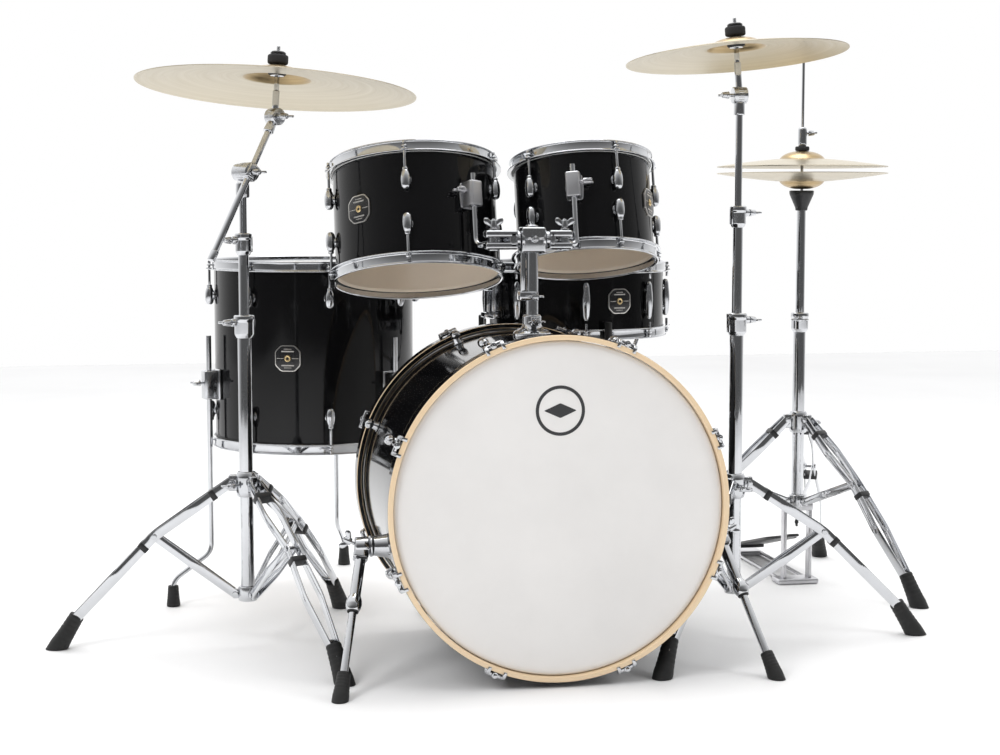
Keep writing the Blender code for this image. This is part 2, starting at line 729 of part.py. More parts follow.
def stud_pieces(frame):
    """Threaded stud with a felt on a seat below the cymbal, and a thick felt under a round nut above it."""
    seat = -CYMBAL_THICK - SEAT_CLEAR
    felt_top = TOP_CLEAR + 0.017
    return [
        rod(frame @ Vector((0, 0, -0.045)), frame @ Vector((0, 0, STUD_HEIGHT)), STUD_RADIUS),
        rod(frame @ Vector((0, 0, seat - 0.011)), frame @ Vector((0, 0, seat)), SEAT_FELT, sides=12),
        rod(frame @ Vector((0, 0, TOP_CLEAR)), frame @ Vector((0, 0, felt_top)), TOP_FELT, sides=12),
        rod(frame @ Vector((0, 0, felt_top - 0.001)), frame @ Vector((0, 0, felt_top + 0.006)), NUT_RADIUS, sides=12),
    ]


def ride_stand():
    place = RIDE_STAND_PLACE
    nut = compass(250.0)
    pieces = tripod_pieces(place, RIDE_STAND_BEARING, RIDE_STAND_FEET, HUB_HEIGHT, LOWER_HUB_HEIGHT,
                           LOWER_HUB_HEIGHT - 0.030, LOWER_CLAMP)
    pieces += wing_nut((*place, LOWER_CLAMP - 0.018), nut, 0.034)
    part("ride_stand_base", CHROMED, pieces, [tube_bore(place, 0.02, 0.70, LOWER_BORE)])
    height_tube("ride_stand_middle_tube", place, LOWER_CLAMP - TUBE_OVERLAP, RIDE_UPPER_CLAMP, MIDDLE_TUBE,
                nut, MIDDLE_BORE)
    clamp = Vector((*place, RIDE_TILTER))
    part(
        "ride_stand_upper_tube",
        CHROMED,
        [
            rod((*place, RIDE_UPPER_CLAMP - TUBE_OVERLAP), clamp - Vector((0, 0, 0.030)), UPPER_TUBE),
            rod(clamp - Vector((0, 0, 0.046)), clamp - Vector((0, 0, 0.018)), 0.0130, sides=12),
        ],
        origin=(*place, RIDE_UPPER_CLAMP),
    )
    boom_arm(clamp)


def boom_arm(clamp):
    axis = boom_axis()
    beside = axis * BOOM_BESIDE
    front = clamp + Vector(BOOM_FRONT) + beside
    back = clamp + Vector(BOOM_BACK) + beside
    along = (back - front).normalized()
    part(
        "ride_boom_arm",
        CHROMED,
        [
            rod(front, back, BOOM_RADIUS),
            rod(front - along * 0.012, front + along * 0.026, 0.0115, 0.0095, sides=12),
            rod(clamp - axis * 0.012, clamp + axis * 0.032, 0.0172, sides=12),
            rod(clamp + axis * 0.028, clamp + axis * 0.052, 0.0045, sides=6),
            block(frame_at(clamp + axis * 0.052, (0, 0, 1), axis), (0.006, 0.034, 0.013)),
            rod(back - along * 0.018, back, 0.0105, sides=12),
        ],
        origin=clamp,
    )
    pivot = back + along * 0.0125
    stud = frame_at(pivot + Vector(RIDE_AXIS).normalized() * RIDE_STUD, RIDE_AXIS)
    part(
        "ride_tilter",
        CHROMED,
        [
            rod(pivot - axis * 0.012, pivot + axis * 0.012, 0.0115, sides=12),
            rod(pivot + axis * 0.008, pivot + axis * 0.030, 0.0045, sides=6),
            block(frame_at(pivot + axis * 0.030, (0, 0, 1), axis), (0.006, 0.030, 0.012)),
            rod(pivot, stud @ Vector((0, 0, -0.040)), 0.0060),
            *stud_pieces(stud),
        ],
        origin=pivot,
    )
    part("ride_cymbal", CYMBAL, cymbal_pieces(stud, RIDE_SIZE), origin=stud.translation)


def boom_axis():
    """The horizontal direction square to the boom arm, on its wing nut's side."""
    along = Vector(BOOM_BACK) - Vector(BOOM_FRONT)
    return along.cross(Vector((0, 0, 1))).normalized()


def crash_stand():
    place = CRASH_STAND_PLACE
    nut = compass(75.0)
    pieces = tripod_pieces(place, CRASH_STAND_BEARING, CRASH_STAND_FEET, HUB_HEIGHT - 0.013,
                           LOWER_HUB_HEIGHT, LOWER_HUB_HEIGHT - 0.030, LOWER_CLAMP)
    pieces += wing_nut((*place, LOWER_CLAMP - 0.018), nut, 0.034)
    part("crash_stand_base", CHROMED, pieces, [tube_bore(place, 0.02, 0.70, LOWER_BORE)])
    height_tube("crash_stand_middle_tube", place, LOWER_CLAMP - TUBE_OVERLAP, CRASH_UPPER_CLAMP, MIDDLE_TUBE,
                nut, MIDDLE_BORE)
    pivot = Vector((*place, CRASH_TILTER))
    axis = Vector((-1.0, 0.0, 0.0))
    part(
        "crash_stand_upper_tube",
        CHROMED,
        [
            rod((*place, CRASH_UPPER_CLAMP - TUBE_OVERLAP), pivot - Vector((0, 0, 0.012)), UPPER_TUBE),
            rod(pivot - Vector((0, 0, 0.036)), pivot - Vector((0, 0, 0.012)), 0.0105, sides=12),
        ],
        origin=(*place, CRASH_UPPER_CLAMP),
    )
    stud = frame_at(pivot + Vector(CRASH_AXIS).normalized() * CRASH_STUD, CRASH_AXIS)
    part(
        "crash_tilter",
        CHROMED,
        [
            rod(pivot - axis * 0.014, pivot + axis * 0.014, 0.0115, sides=12),
            rod(pivot + axis * 0.008, pivot + axis * 0.034, 0.0045, sides=6),
            block(frame_at(pivot + axis * 0.034, (0, 0, 1), axis), (0.006, 0.030, 0.012)),
            rod(pivot, stud @ Vector((0, 0, -0.040)), 0.0060),
            *stud_pieces(stud),
        ],
        origin=pivot,
    )
    part("crash_cymbal", CYMBAL, cymbal_pieces(stud, CRASH_SIZE), origin=stud.translation)


def hihat():
    place = HIHAT_PLACE
    x, y = place
    nut = compass(200.0)
    pieces = tripod_pieces(place, HIHAT_BEARING, HIHAT_FEET, HIHAT_HUB, HIHAT_LOWER_HUB,
                           HIHAT_LOWER_HUB - 0.024, HIHAT_CLAMP)
    pieces += wing_nut((*place, HIHAT_CLAMP - 0.018), nut, 0.034)
    yoke_top = HIHAT_LOWER_HUB - 0.020
    heel = y + PEDAL_HEEL_BACK
    pieces.append(block(frame_at((x, y, yoke_top), (0, 0, 1)), (0.066, 0.034, 0.018)))
    for side in (-1, 1):
        post = Vector((x + side * 0.028, y, 0.0))
        low, high = post + Vector((0, 0, 0.004)), post + Vector((0, 0, yoke_top))
        pieces.append(bar(low, high, (1, 0, 0), 0.022, 0.008))
        pieces.append(rod((x + side * 0.030, y, 0.006), (x + side * 0.030, heel, 0.006), 0.004, sides=6))
    pieces.append(block(frame_at((x, y + 0.004, 0.006), (0, 0, 1)), (0.092, 0.050, 0.012)))
    pieces.append(block(frame_at((x, heel + 0.012, 0.005), (0, 0, 1)), (0.070, 0.046, 0.010)))
    part("hihat_stand_base", CHROMED, pieces, [tube_bore(place, HIHAT_LOWER_HUB - 0.06, 0.70, LOWER_BORE)])
    seat = HIHAT_SEAT
    part(
        "hihat_upper_tube",
        CHROMED,
        [
            rod((*place, HIHAT_CLAMP - TUBE_OVERLAP), (*place, seat), MIDDLE_TUBE, sides=12),
            rod((*place, seat - 0.042), (*place, seat), 0.013, 0.026, sides=12),
        ],
        [tube_bore(place, HIHAT_CLAMP - 0.3, seat + 0.1, HIHAT_ROD + 0.0015)],
        (*place, HIHAT_CLAMP),
    )
    bell = HIHAT_SIZE[1] + HIHAT_SIZE[3]
    low = frame_at((*place, HIHAT_EDGE_LOW - bell), (0, 0, 1))
    high = frame_at((*place, HIHAT_EDGE_HIGH + bell), (0, 0, 1))
    part("hihat_bottom_cymbal", CYMBAL, cymbal_pieces(low, HIHAT_SIZE, under=True))
    clutch = HIHAT_EDGE_HIGH + bell
    toe = PEDAL_TOE_HEIGHT
    part(
        "hihat_pull_rod",
        CHROMED,
        [
            rod((*place, HIHAT_LOWER_HUB - 0.045), (*place, HIHAT_ROD_TOP), HIHAT_ROD),
            rod((*place, toe + 0.018), (*place, HIHAT_LOWER_HUB - 0.040), 0.0055, sides=6),
            rod((*place, clutch + GAP), (*place, clutch + 0.012), 0.0150, sides=12),
            rod((*place, clutch + 0.010), (*place, clutch + 0.050), 0.0095, sides=12),
            *wing_nut((*place, clutch + 0.040), compass(240.0), 0.026),
            rod((*place, clutch - CYMBAL_THICK - 0.011), (*place, clutch - CYMBAL_THICK - 0.0015), 0.0100),
        ],
        origin=(*place, clutch),
    )
    part("hihat_top_cymbal", CYMBAL, cymbal_pieces(high, HIHAT_SIZE), origin=(*place, clutch))
    hinge = Vector((x, heel, PEDAL_HEEL_HEIGHT))
    end = Vector((x, y + 0.010, toe))
    footboard("hihat_footboard", hinge, end, PEDAL_WIDTH)


def footboard(name, hinge, toe, width):
    """A tapered plate from its heel hinge up to its toe."""
    rise = (toe - hinge).normalized()
    lift = rise.cross(Vector((-1, 0, 0))).normalized() * 0.004
    neck = hinge + rise * ((toe - hinge).length - 0.075)
    part(
        name,
        BLACK,
        [
            bar(hinge + rise * 0.002 + lift, neck + lift, (0, -rise.z, rise.y), width, 0.006),
            bar(neck - rise * 0.004 + lift, toe + lift, (0, -rise.z, rise.y), 0.026, 0.006),
            rod(hinge - Vector((width / 2, 0, 0)), hinge + Vector((width / 2, 0, 0)), 0.0055),
        ],
        origin=hinge,
    )


def kick_pedal():
    back = BASS_DEPTH / 2 + WOOD_HOOP_BEYOND
    front = back + KICK_FRONT
    post_y = front + KICK_POST_BACK
    heel = front + KICK_HEEL_BACK
    axle = Vector((0.0, post_y, KICK_AXLE_HEIGHT))
    half = KICK_HALF_WIDTH
    pieces = [
        block(frame_at((0, front + 0.028, 0.009), (0, 0, 1)), (2 * half + 0.016, 0.056, 0.018)),
        block(frame_at((0, heel + 0.014, 0.005), (0, 0, 1)), (0.084, 0.060, 0.010)),
    ]
    for side in (-1, 1):
        post = Vector((side * (half + 0.003), post_y, 0.0))
        low, high = post + Vector((0, 0, 0.006)), post + Vector((0, 0, 0.172))
        pieces.append(bar(low, high, (1, 0, 0), 0.024, 0.008))
        pieces.append(rod((side * 0.034, front + 0.04, 0.006), (side * 0.034, heel, 0.006), 0.004, sides=6))
    part("kick_pedal_frame", SATIN_METAL, pieces)
    lean = Vector((0.0, math.sin(KICK_LEAN), math.cos(KICK_LEAN)))
    ahead = Vector((0.0, -math.cos(KICK_LEAN), math.sin(KICK_LEAN)))
    head = axle + lean * KICK_SHAFT
    inside = Vector((half - 0.001 - JOINT_GAP, 0, 0))
    part(
        "kick_beater",
        CHROMED,
        [
            rod(axle - inside, axle + inside, 0.0065, sides=8),
            rod(axle - Vector((0.010, 0, 0)), axle + Vector((0.010, 0, 0)), 0.0240, sides=12),
            rod(axle, head + lean * 0.020, 0.0035, sides=6),
            rod(head - ahead * BEATER_LENGTH / 2, head + ahead * BEATER_LENGTH / 2, BEATER_RADIUS, sides=14),
        ],
        origin=axle,
    )
    hinge = Vector((0.0, heel, 0.022))
    footboard("kick_footboard", hinge, Vector((0.0, post_y + 0.034, 0.100)), 0.074)


def snare_stand():
    place = SNARE_PLACE[:2]
    pieces = tripod_pieces(place, SNARE_STAND_BEARING, SNARE_STAND_FEET, SNARE_HUB, SNARE_LOWER_HUB,
                           SNARE_LOWER_HUB - 0.024, SNARE_CLAMP)
    pieces += wing_nut((*place, SNARE_CLAMP - 0.018), compass(30.0), 0.034)
    part("snare_stand_base", CHROMED, pieces, [tube_bore(place, 0.01, 0.50, LOWER_BORE)])
    hinge = Vector((*place, BASKET_CENTRE))
    up = Vector((0, 0, 1))
    part(
        "snare_stand_tube",
        CHROMED,
        [
            rod((*place, SNARE_CLAMP - TUBE_OVERLAP), hinge - up * 0.026, MIDDLE_TUBE, sides=12),
            rod(hinge - up * 0.040, hinge - up * 0.0165, 0.0150, sides=12),
        ],
        origin=(*place, SNARE_CLAMP),
    )
    hoop_outer = SNARE_RADIUS + HOOP_EAR
    grip_low = SNARE_PLACE[2] - SNARE_DEPTH / 2 - HOOP_ABOVE
    basket = [
        rod(hinge - Vector((0.022, 0, 0)), hinge + Vector((0.022, 0, 0)), 0.0155, sides=12),
        rod(hinge, hinge + up * 0.030, 0.0170, sides=12),
    ]
    for k in range(3):
        outward = compass(BASKET_BEARING + 120.0 * k)
        side = compass(BASKET_BEARING + 120.0 * k + 90.0)
        inner = hinge + up * 0.022 + outward * 0.008
        elbow = hinge + up * 0.040 + outward * (hoop_outer - 0.020)
        wrist = Vector((*place, grip_low - 0.014)) + outward * (hoop_outer + 0.009)
        tip = Vector((*place, grip_low + 0.036)) + outward * (hoop_outer + 0.009)
        basket.append(swept(rounded([inner, elbow, wrist, tip], 0.012, 2), circle(BASKET_ARM, 6), side))
        shelf = Vector((*place, grip_low - GAP - 0.005))
        outer, inner = shelf + outward * (hoop_outer + 0.012), shelf + outward * (hoop_outer - 0.014)
        basket.append(rod(outer, inner, 0.005, sides=6))
    part("snare_basket", CHROMED, basket, origin=hinge)


def centre_kit():
    """Moves the whole kit so that the origin is on the floor under the centre of its bounding box."""
    bpy.context.view_layer.update()
    meshes = [obj for obj in bpy.data.objects if obj.type == "MESH"]
    corners = [obj.matrix_world @ vertex.co for obj in meshes for vertex in obj.data.vertices]
    low = Vector([min(corner[k] for corner in corners) for k in range(3)])
    high = Vector([max(corner[k] for corner in corners) for k in range(3)])
    middle = (low + high) / 2
    KIT.location = (-middle.x, -middle.y, -low.z)


clear_scene()
KIT = bpy.data.objects.new("kit_origin", None)
bpy.context.scene.collection.objects.link(KIT)
LACQUER = material("black_lacquer", BLACK_LACQUER, 0.12, 0.0)
WOOD = material("maple", MAPLE, 0.35, 0.0)
HEAD_WHITE = material("coated_head", COATED_WHITE, 0.55, 0.0)
HEAD_CLEAR = material("clear_head", CLEAR_FILM, 0.25, 0.0)
CHROMED = material("chrome", CHROME, 0.12, 1.0)
SATIN_METAL = material("satin_aluminium", SATIN, 0.38, 1.0)
CYMBAL = material("cymbal_bronze", BRONZE, 0.28, 1.0)
BLACK = material("black_paint", BLACK_PAINT, 0.45, 0.0)
STEEL_WIRE = material("snare_steel", STEEL, 0.30, 1.0)
bass_drum()
tom_holder()
floor_tom()
snare_drum()
ride_stand()
crash_stand()
hihat()
kick_pedal()
snare_stand()
centre_kit()
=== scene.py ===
"""Acoustic drum kit: the finished pieces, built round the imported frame."""

import json
import math

import bmesh
import bpy
import numpy as np
from mathutils import Matrix, Vector


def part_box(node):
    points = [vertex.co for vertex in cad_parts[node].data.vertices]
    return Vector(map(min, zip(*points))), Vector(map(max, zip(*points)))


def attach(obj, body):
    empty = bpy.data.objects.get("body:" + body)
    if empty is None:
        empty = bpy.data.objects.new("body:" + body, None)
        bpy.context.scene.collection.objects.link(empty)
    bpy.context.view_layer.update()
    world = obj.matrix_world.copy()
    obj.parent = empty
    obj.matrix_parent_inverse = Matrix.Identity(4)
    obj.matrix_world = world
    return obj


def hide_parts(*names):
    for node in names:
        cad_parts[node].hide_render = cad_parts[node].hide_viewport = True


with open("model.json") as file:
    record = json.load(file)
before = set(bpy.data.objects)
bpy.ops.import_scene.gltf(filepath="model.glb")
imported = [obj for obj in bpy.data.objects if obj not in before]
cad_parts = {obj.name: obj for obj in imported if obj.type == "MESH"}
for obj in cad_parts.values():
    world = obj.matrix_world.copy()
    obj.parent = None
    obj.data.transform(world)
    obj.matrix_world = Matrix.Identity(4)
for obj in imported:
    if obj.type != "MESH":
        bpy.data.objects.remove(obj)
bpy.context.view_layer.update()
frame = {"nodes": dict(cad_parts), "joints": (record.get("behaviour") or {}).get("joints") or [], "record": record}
JOINTS = {joint["name"]: joint for joint in frame["joints"]}
BODY_OF = {node: body for body, nodes in frame["record"]["behaviour"]["bodies"].items() for node in nodes}

# Sizes that the CAD solids share, in metres and degrees.
HOOP_ABOVE = 0.0125
HOOP_BELOW = 0.009
HOOP_EAR = 0.0125
ROD_OUT = 0.0098
SHELL_WALL = 0.006
HEAD_BESIDE = 0.0021
HEAD_ABOVE = 0.0012
LUG_DROP = 0.06
TOM12_BEARINGS = [194.0 + 72.0 * k for k in range(5)]
TOM10_BEARINGS = [165.5 + 72.0 * k for k in range(5)]
FLOOR_TOM_BEARINGS = [-3.0 + 45.0 * k for k in range(8)]
SNARE_BEARINGS = [7.3 + 45.0 * k for k in range(8)]
BASS_BEARINGS = [22.5 + 45.0 * k for k in range(8)]
TOM12_BRACKET = 151.3
TOM10_BRACKET = 200.0
FLOOR_TOM_LEGS = {"left": -104.0, "back": 17.0, "right": 140.0}
STRAINER_BEARING = 254.0
ARM_RADIUS = 0.0052
LOWER_TUBE = 0.0127
MIDDLE_TUBE = 0.0095
UPPER_TUBE = 0.007
RIDE_RADIUS = 0.254
CRASH_RADIUS = 0.2032
HIHAT_RADIUS = 0.1778
SNARE_WIRES = 20
WIRE_PITCH = 0.002
LEG_BRACKET_HEIGHT = 0.446
CAMERA_FROM_BASS = (-0.6788, -3.1745)
CAMERA_HEIGHT = 0.8043
CAMERA_HEADING = 11.0625
CAMERA_DIP = 5.351
CAMERA_LENS = 65.87
UP = Vector((0.0, 0.0, 1.0))


# Frames and measurements.


def frame_at(origin, up, across=(1.0, 0.0, 0.0)):
    """A frame whose Z lies along up, and whose X is as near to across as it can be."""
    z = Vector(up).normalized()
    y = z.cross(Vector(across)).normalized()
    return columns(y.cross(z), y, z, origin)


def around(base, bearing, out=0.0, height=0.0):
    """A frame on the side of base, its Y pointing outwards and its Z along base's axis."""
    turn = Matrix.Rotation(-math.radians(bearing), 4, "Z")
    return shifted(base @ turn, 0.0, out, height)


def columns(x, y, z, origin):
    """A frame from its three axes and its origin."""
    made = Matrix((x, y, z)).transposed().to_4x4()
    made.translation = Vector(origin)
    return made


def upright(x, y, z=0.0):
    return frame_at((x, y, z), UP)


def shifted(base, x=0.0, y=0.0, z=0.0):
    return base @ Matrix.Translation((x, y, z))


def point_on(base, x=0.0, y=0.0, z=0.0):
    return base @ Vector((x, y, z))


def flipped(base):
    return base @ Matrix.Rotation(math.pi, 4, "Y")


def compass(bearing):
    turn = math.radians(bearing)
    return Vector((math.sin(turn), math.cos(turn), 0.0))


def corners_of(node):
    """The node's own points, each once."""
    points = np.array([vertex.co for vertex in frame["nodes"][node].data.vertices], float)
    return np.unique(np.round(points, 6), axis=0)


def middle_of(node):
    return Vector(corners_of(node).mean(axis=0))


def box_middle(node):
    low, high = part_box(node)
    return (low + high) / 2


def pivot(joint):
    return Vector(JOINTS[joint]["pos_m"])


def axis_of(joint):
    return Vector(JOINTS[joint]["axis"])


def drum_frame(upper, lower):
    """The drum's middle, with Z from its lower head to its upper head."""
    top, bottom = middle_of(upper), middle_of(lower)
    return frame_at((top + bottom) / 2, top - bottom)


def drum_measures(upper, lower):
    """(frame, shell radius, half of the shell's depth) of a drum, from its two heads."""
    base = drum_frame(upper, lower)
    outer, _, top = reach_of(upper, base)
    return base, outer - HEAD_BESIDE, top - HEAD_ABOVE


def reach_of(node, base):
    """(radius, lowest, highest) of a node about a frame's Z."""
    local = np.array([base.inverted() @ Vector(point) for point in corners_of(node)])
    return float(np.hypot(local[:, 0], local[:, 1]).max()), float(local[:, 2].min()), float(local[:,
            2].max())


# Shapes.


def bend(start, corner, end, steps):
    """A curve from start to end that leans towards the corner."""
    turns = [k / steps for k in range(steps + 1)]
    return [start * (1 - t) ** 2 + corner * 2 * t * (1 - t) + end * t**2 for t in turns]


def soften(outline, radius, steps=3, ring=True):
    """The outline with its corners rounded, each by no more than its shorter edge allows."""
    points = [Vector(point) for point in outline]
    count = len(points)
    made = []
    for k, corner in enumerate(points):
        if not ring and k in (0, count - 1):
            made.append(corner.copy())
            continue
        before, after = points[k - 1], points[(k + 1) % count]
        cut = min(radius, 0.45 * (before - corner).length, 0.45 * (after - corner).length)
        start = corner + (before - corner).normalized() * cut
        end = corner + (after - corner).normalized() * cut
        made += bend(start, corner, end, steps)
    return made


def lathe(base, outline, segments=64, ring=True):
    """An outline of (radius, height) points turned once round the frame's Z."""
    bm = bmesh.new()
    verts = [bm.verts.new((point[0], 0.0, point[1])) for point in outline]
    edges = [bm.edges.new(pair) for pair in zip(verts, verts[1:])]
    if ring:
        edges.append(bm.edges.new((verts[-1], verts[0])))
    bmesh.ops.spin(bm, geom=verts + edges, cent=(0, 0, 0), axis=(0, 0, 1), angle=math.tau, steps=segments,
        use_merge=True)
    bmesh.ops.remove_doubles(bm, verts=bm.verts, dist=1e-6)
    bmesh.ops.recalc_face_normals(bm, faces=bm.faces)
    bm.transform(base)
    return bm


def beside(along):
    """A main axis well away from the given way."""
    return (1.0, 0.0, 0.0) if abs(along.normalized().x) < 0.9 else (0.0, 1.0, 0.0)


def turned(base, outline, soft, segments, steps=3):
    """A solid turned piece: an outline from axis to axis, its corners softened."""
    return lathe(base, soften(outline, soft, steps, ring=False), segments, ring=False)


def bored(base, outline, soft, segments, steps=3):
    """A turned ring: a closed outline, its corners softened."""
    return lathe(base, soften(outline, soft, steps), segments)


def pin(start, end, radius, end_radius=None, edge=0.0008, segments=28):
    """A round bar with softened ends, from start to end."""
    start, end = Vector(start), Vector(end)
    along = end - start
    far = radius if end_radius is None else end_radius
    outline = [(0.0, 0.0), (radius, 0.0), (far, along.length), (0.0, along.length)]
    return turned(frame_at(start, along, beside(along)), outline, edge, segments)


def sleeve(start, end, radius, bore, edge=0.0007, segments=32):
    """A round tube with a hole through it."""
    start, end = Vector(start), Vector(end)
    length = (end - start).length
    outline = [(bore, 0.0), (radius, 0.0), (radius, length), (bore, length)]
    return bored(frame_at(start, end - start, beside(end - start)), outline, edge, segments)


def slab(base, size, edge=0.0012, segments=3):
    """A block with rounded edges."""
    bm = bmesh.new()
    bmesh.ops.create_cube(bm, size=1.0, matrix=Matrix.Diagonal((*size, 1.0)))
    bmesh.ops.bevel(
        bm,
        geom=list(bm.edges),
        offset=min(edge, 0.45 * min(size)),
        segments=segments,
        profile=0.5,
        affect="EDGES",
        material=-1,
    )
    bm.transform(base)
    return bm


def plate(base, outline, thick, edge=0.0006, segments=2):
    """A flat outline in the frame's XY, as thick as thick along Z, with rounded rims."""
    bm = bmesh.new()
    face = bm.faces.new([bm.verts.new((point[0], point[1], -thick / 2)) for point in outline])
    made = bmesh.ops.extrude_face_region(bm, geom=[face])
    raised = [item for item in made["geom"] if isinstance(item, bmesh.types.BMVert)]
    bmesh.ops.translate(bm, verts=raised, vec=(0.0, 0.0, thick))
    bmesh.ops.recalc_face_normals(bm, faces=bm.faces)
    rims = [edge_ for edge_ in bm.edges if abs(edge_.verts[0].co.z - edge_.verts[1].co.z) < 1e-7]
    bmesh.ops.bevel(bm, geom=rims, offset=min(edge, 0.4 * thick), segments=segments, profile=0.5,
        affect="EDGES", material=-1)
    bm.transform(base)
    return bm


def carried(points, outline, side):
    """A small outline carried along a path that lies in the plane square to side."""
    side = Vector(side).normalized()
    places = []
    for k, point in enumerate(points):
        along = (points[min(k + 1, len(points) - 1)] - points[max(k - 1, 0)]).normalized()
        places.append(columns(side, along.cross(side), along, point))
    bm = bmesh.new()
    face = bm.faces.new([bm.verts.new(places[0] @ Vector((u, v, 0.0))) for u, v in outline])
    for before, after in zip(places, places[1:]):
        made = bmesh.ops.extrude_face_region(bm, geom=[face])["geom"]
        moved = [item for item in made if isinstance(item, bmesh.types.BMVert)]
        face = next(item for item in made if isinstance(item, bmesh.types.BMFace))
        bmesh.ops.transform(bm, matrix=after @ before.inverted(), verts=moved)
    bmesh.ops.recalc_face_normals(bm, faces=bm.faces)
    return bm


def rounded_path(points, radius, steps=8):
    points = [Vector(point) for point in points]
    path = [points[0]]
    for before, corner, after in zip(points, points[1:], points[2:]):
        start = corner + (before - corner).normalized() * radius
        end = corner + (after - corner).normalized() * radius
        path += bend(start, corner, end, steps)
    return [*path, points[-1]]


def circle(radius, sides=24):
    turns = [math.tau * k / sides for k in range(sides)]
    return [(radius * math.cos(turn), radius * math.sin(turn)) for turn in turns]


def joined(pieces):
    """One bmesh that holds all of them."""
    whole = bmesh.new()
    for piece in pieces:
        mesh = bpy.data.meshes.new("joining")
        piece.to_mesh(mesh)
        piece.free()
        whole.from_mesh(mesh)
        bpy.data.meshes.remove(mesh)
    return whole


def make(name, pieces, look, node, angle=38):
    """A finished piece: it rides with the body of its CAD node and takes the finish it is given."""
    bm = joined(pieces)
    mesh = bpy.data.meshes.new(name)
    bm.to_mesh(mesh)
    bm.free()
    mesh.materials.append(look)
    mesh.shade_smooth()
    mesh.set_sharp_from_angle(angle=math.radians(angle))
    obj = bpy.data.objects.new(name, mesh)
    bpy.context.scene.collection.objects.link(obj)
    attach(obj, BODY_OF[node])
    return obj


def stand_in(name, pieces, look, node, angle=38):
    """A finished piece that takes the place of its CAD node."""
    obj = make(name, pieces, look, node, angle)
    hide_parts(node)
    return obj


def wrap_uv(obj, base, length=1.0):
    """UV for a turned piece: U runs round it in metres at its rim, V runs along its outline."""
    layer = obj.data.uv_layers.new(name="round")
    back = base.inverted()
    rim = max((back @ vertex.co).xy.length for vertex in obj.data.vertices)
    for polygon in obj.data.polygons:
        middle = back @ polygon.center
        lead = math.atan2(middle.y, middle.x)
        for loop in polygon.loop_indices:
            point = back @ obj.data.vertices[obj.data.loops[loop].vertex_index].co
            turn = math.atan2(point.y, point.x) if point.xy.length > 1e-6 else lead
            turn += math.tau * round((lead - turn) / math.tau)
            layer.data[loop].uv = (turn * rim / length, (point.xy.length + point.z) / length)


# Finishes.


def material(name, colour, roughness, metallic=0.0, **sockets):
    made = bpy.data.materials.new(name)
    made.use_nodes = True
    shader = made.node_tree.nodes["Principled BSDF"]
    shader.inputs["Base Color"].default_value = (*colour, 1.0)
    shader.inputs["Roughness"].default_value = roughness
    shader.inputs["Metallic"].default_value = metallic
    for socket, value in sockets.items():
        shader.inputs[socket.replace("_", " ")].default_value = value
    return made


def add_node(tree, kind, settings):
    made = tree.nodes.new("ShaderNode" + kind)
    for key, value in settings.items():
        if isinstance(key, int) or key in made.inputs:
            made.inputs[key].default_value = value
        else:
            setattr(made, key, value)
    return made


def node_group(name, inputs, outputs, nodes, links):
    """A shader group. A node is given as its kind and settings, a link as "node.socket > node.socket"."""
    group = bpy.data.node_groups.new(name, "ShaderNodeTree")
    for key, value in inputs.items():
        kind = "NodeSocketColor" if value is None else "NodeSocketFloat"
        made = group.interface.new_socket(name=key, in_out="INPUT", socket_type=kind)
        if value is not None:
            made.default_value = value
    for key in outputs:
        group.interface.new_socket(name=key, in_out="OUTPUT", socket_type="NodeSocket" + OUTPUT_KINDS[key])
    made = {"start": group.nodes.new("NodeGroupInput"), "end": group.nodes.new("NodeGroupOutput")}
    for key, (kind, settings) in nodes.items():
        made[key] = add_node(group, kind, settings)
    for link in links:
        (source, out_key), (target, in_key) = [half.split(".") for half in link.split(" > ")]
        group.links.new(
            made[source].outputs[int(out_key) if out_key.isdigit() else out_key],
            made[target].inputs[int(in_key) if in_key.isdigit() else in_key],
        )
    return group


OUTPUT_KINDS = {"Colour": "Color", "Roughness": "Float", "Normal": "Vector"}

# Fingerprints and fine dust: a tone to multiply the colour by, a roughness, and a height.
HANDLING = node_group(
    "handling_marks",
    {"Colour": None, "Roughness": 0.1, "Smear": 0.05, "Scale": 18.0, "Grain Depth": 0.00001},
    ["Colour", "Roughness", "Normal"],
    {
        "place": ("TexCoord", {}),
        "cloud": ("TexNoise", {"Detail": 5.0, "Roughness": 0.6}),
        "grain": ("TexNoise", {"Scale": 900.0, "Detail": 2.0}),
        "spread": ("MapRange", {"From Min": 0.35, "From Max": 0.72}),
        "smear": ("Math", {"operation": "MULTIPLY_ADD"}),
        "tone": ("MapRange", {"To Min": 1.0, "To Max": 0.93}),
        "shade": ("Mix", {"data_type": "RGBA", "blend_type": "MULTIPLY", 0: 1.0}),
        "bump": ("Bump", {"Strength": 0.35}),
    },
    [
        "place.Object > cloud.Vector", "place.Object > grain.Vector", "start.Scale > cloud.Scale",
        "cloud.Fac > spread.Value", "spread.Result > smear.0", "start.Smear > smear.1",
        "start.Roughness > smear.2", "smear.0 > end.Roughness", "spread.Result > tone.Value",
        "start.Colour > shade.6", "tone.Result > shade.7", "shade.2 > end.Colour",
        "grain.Fac > bump.Height", "start.Grain Depth > bump.Distance", "bump.Normal > end.Normal",
    ],
)

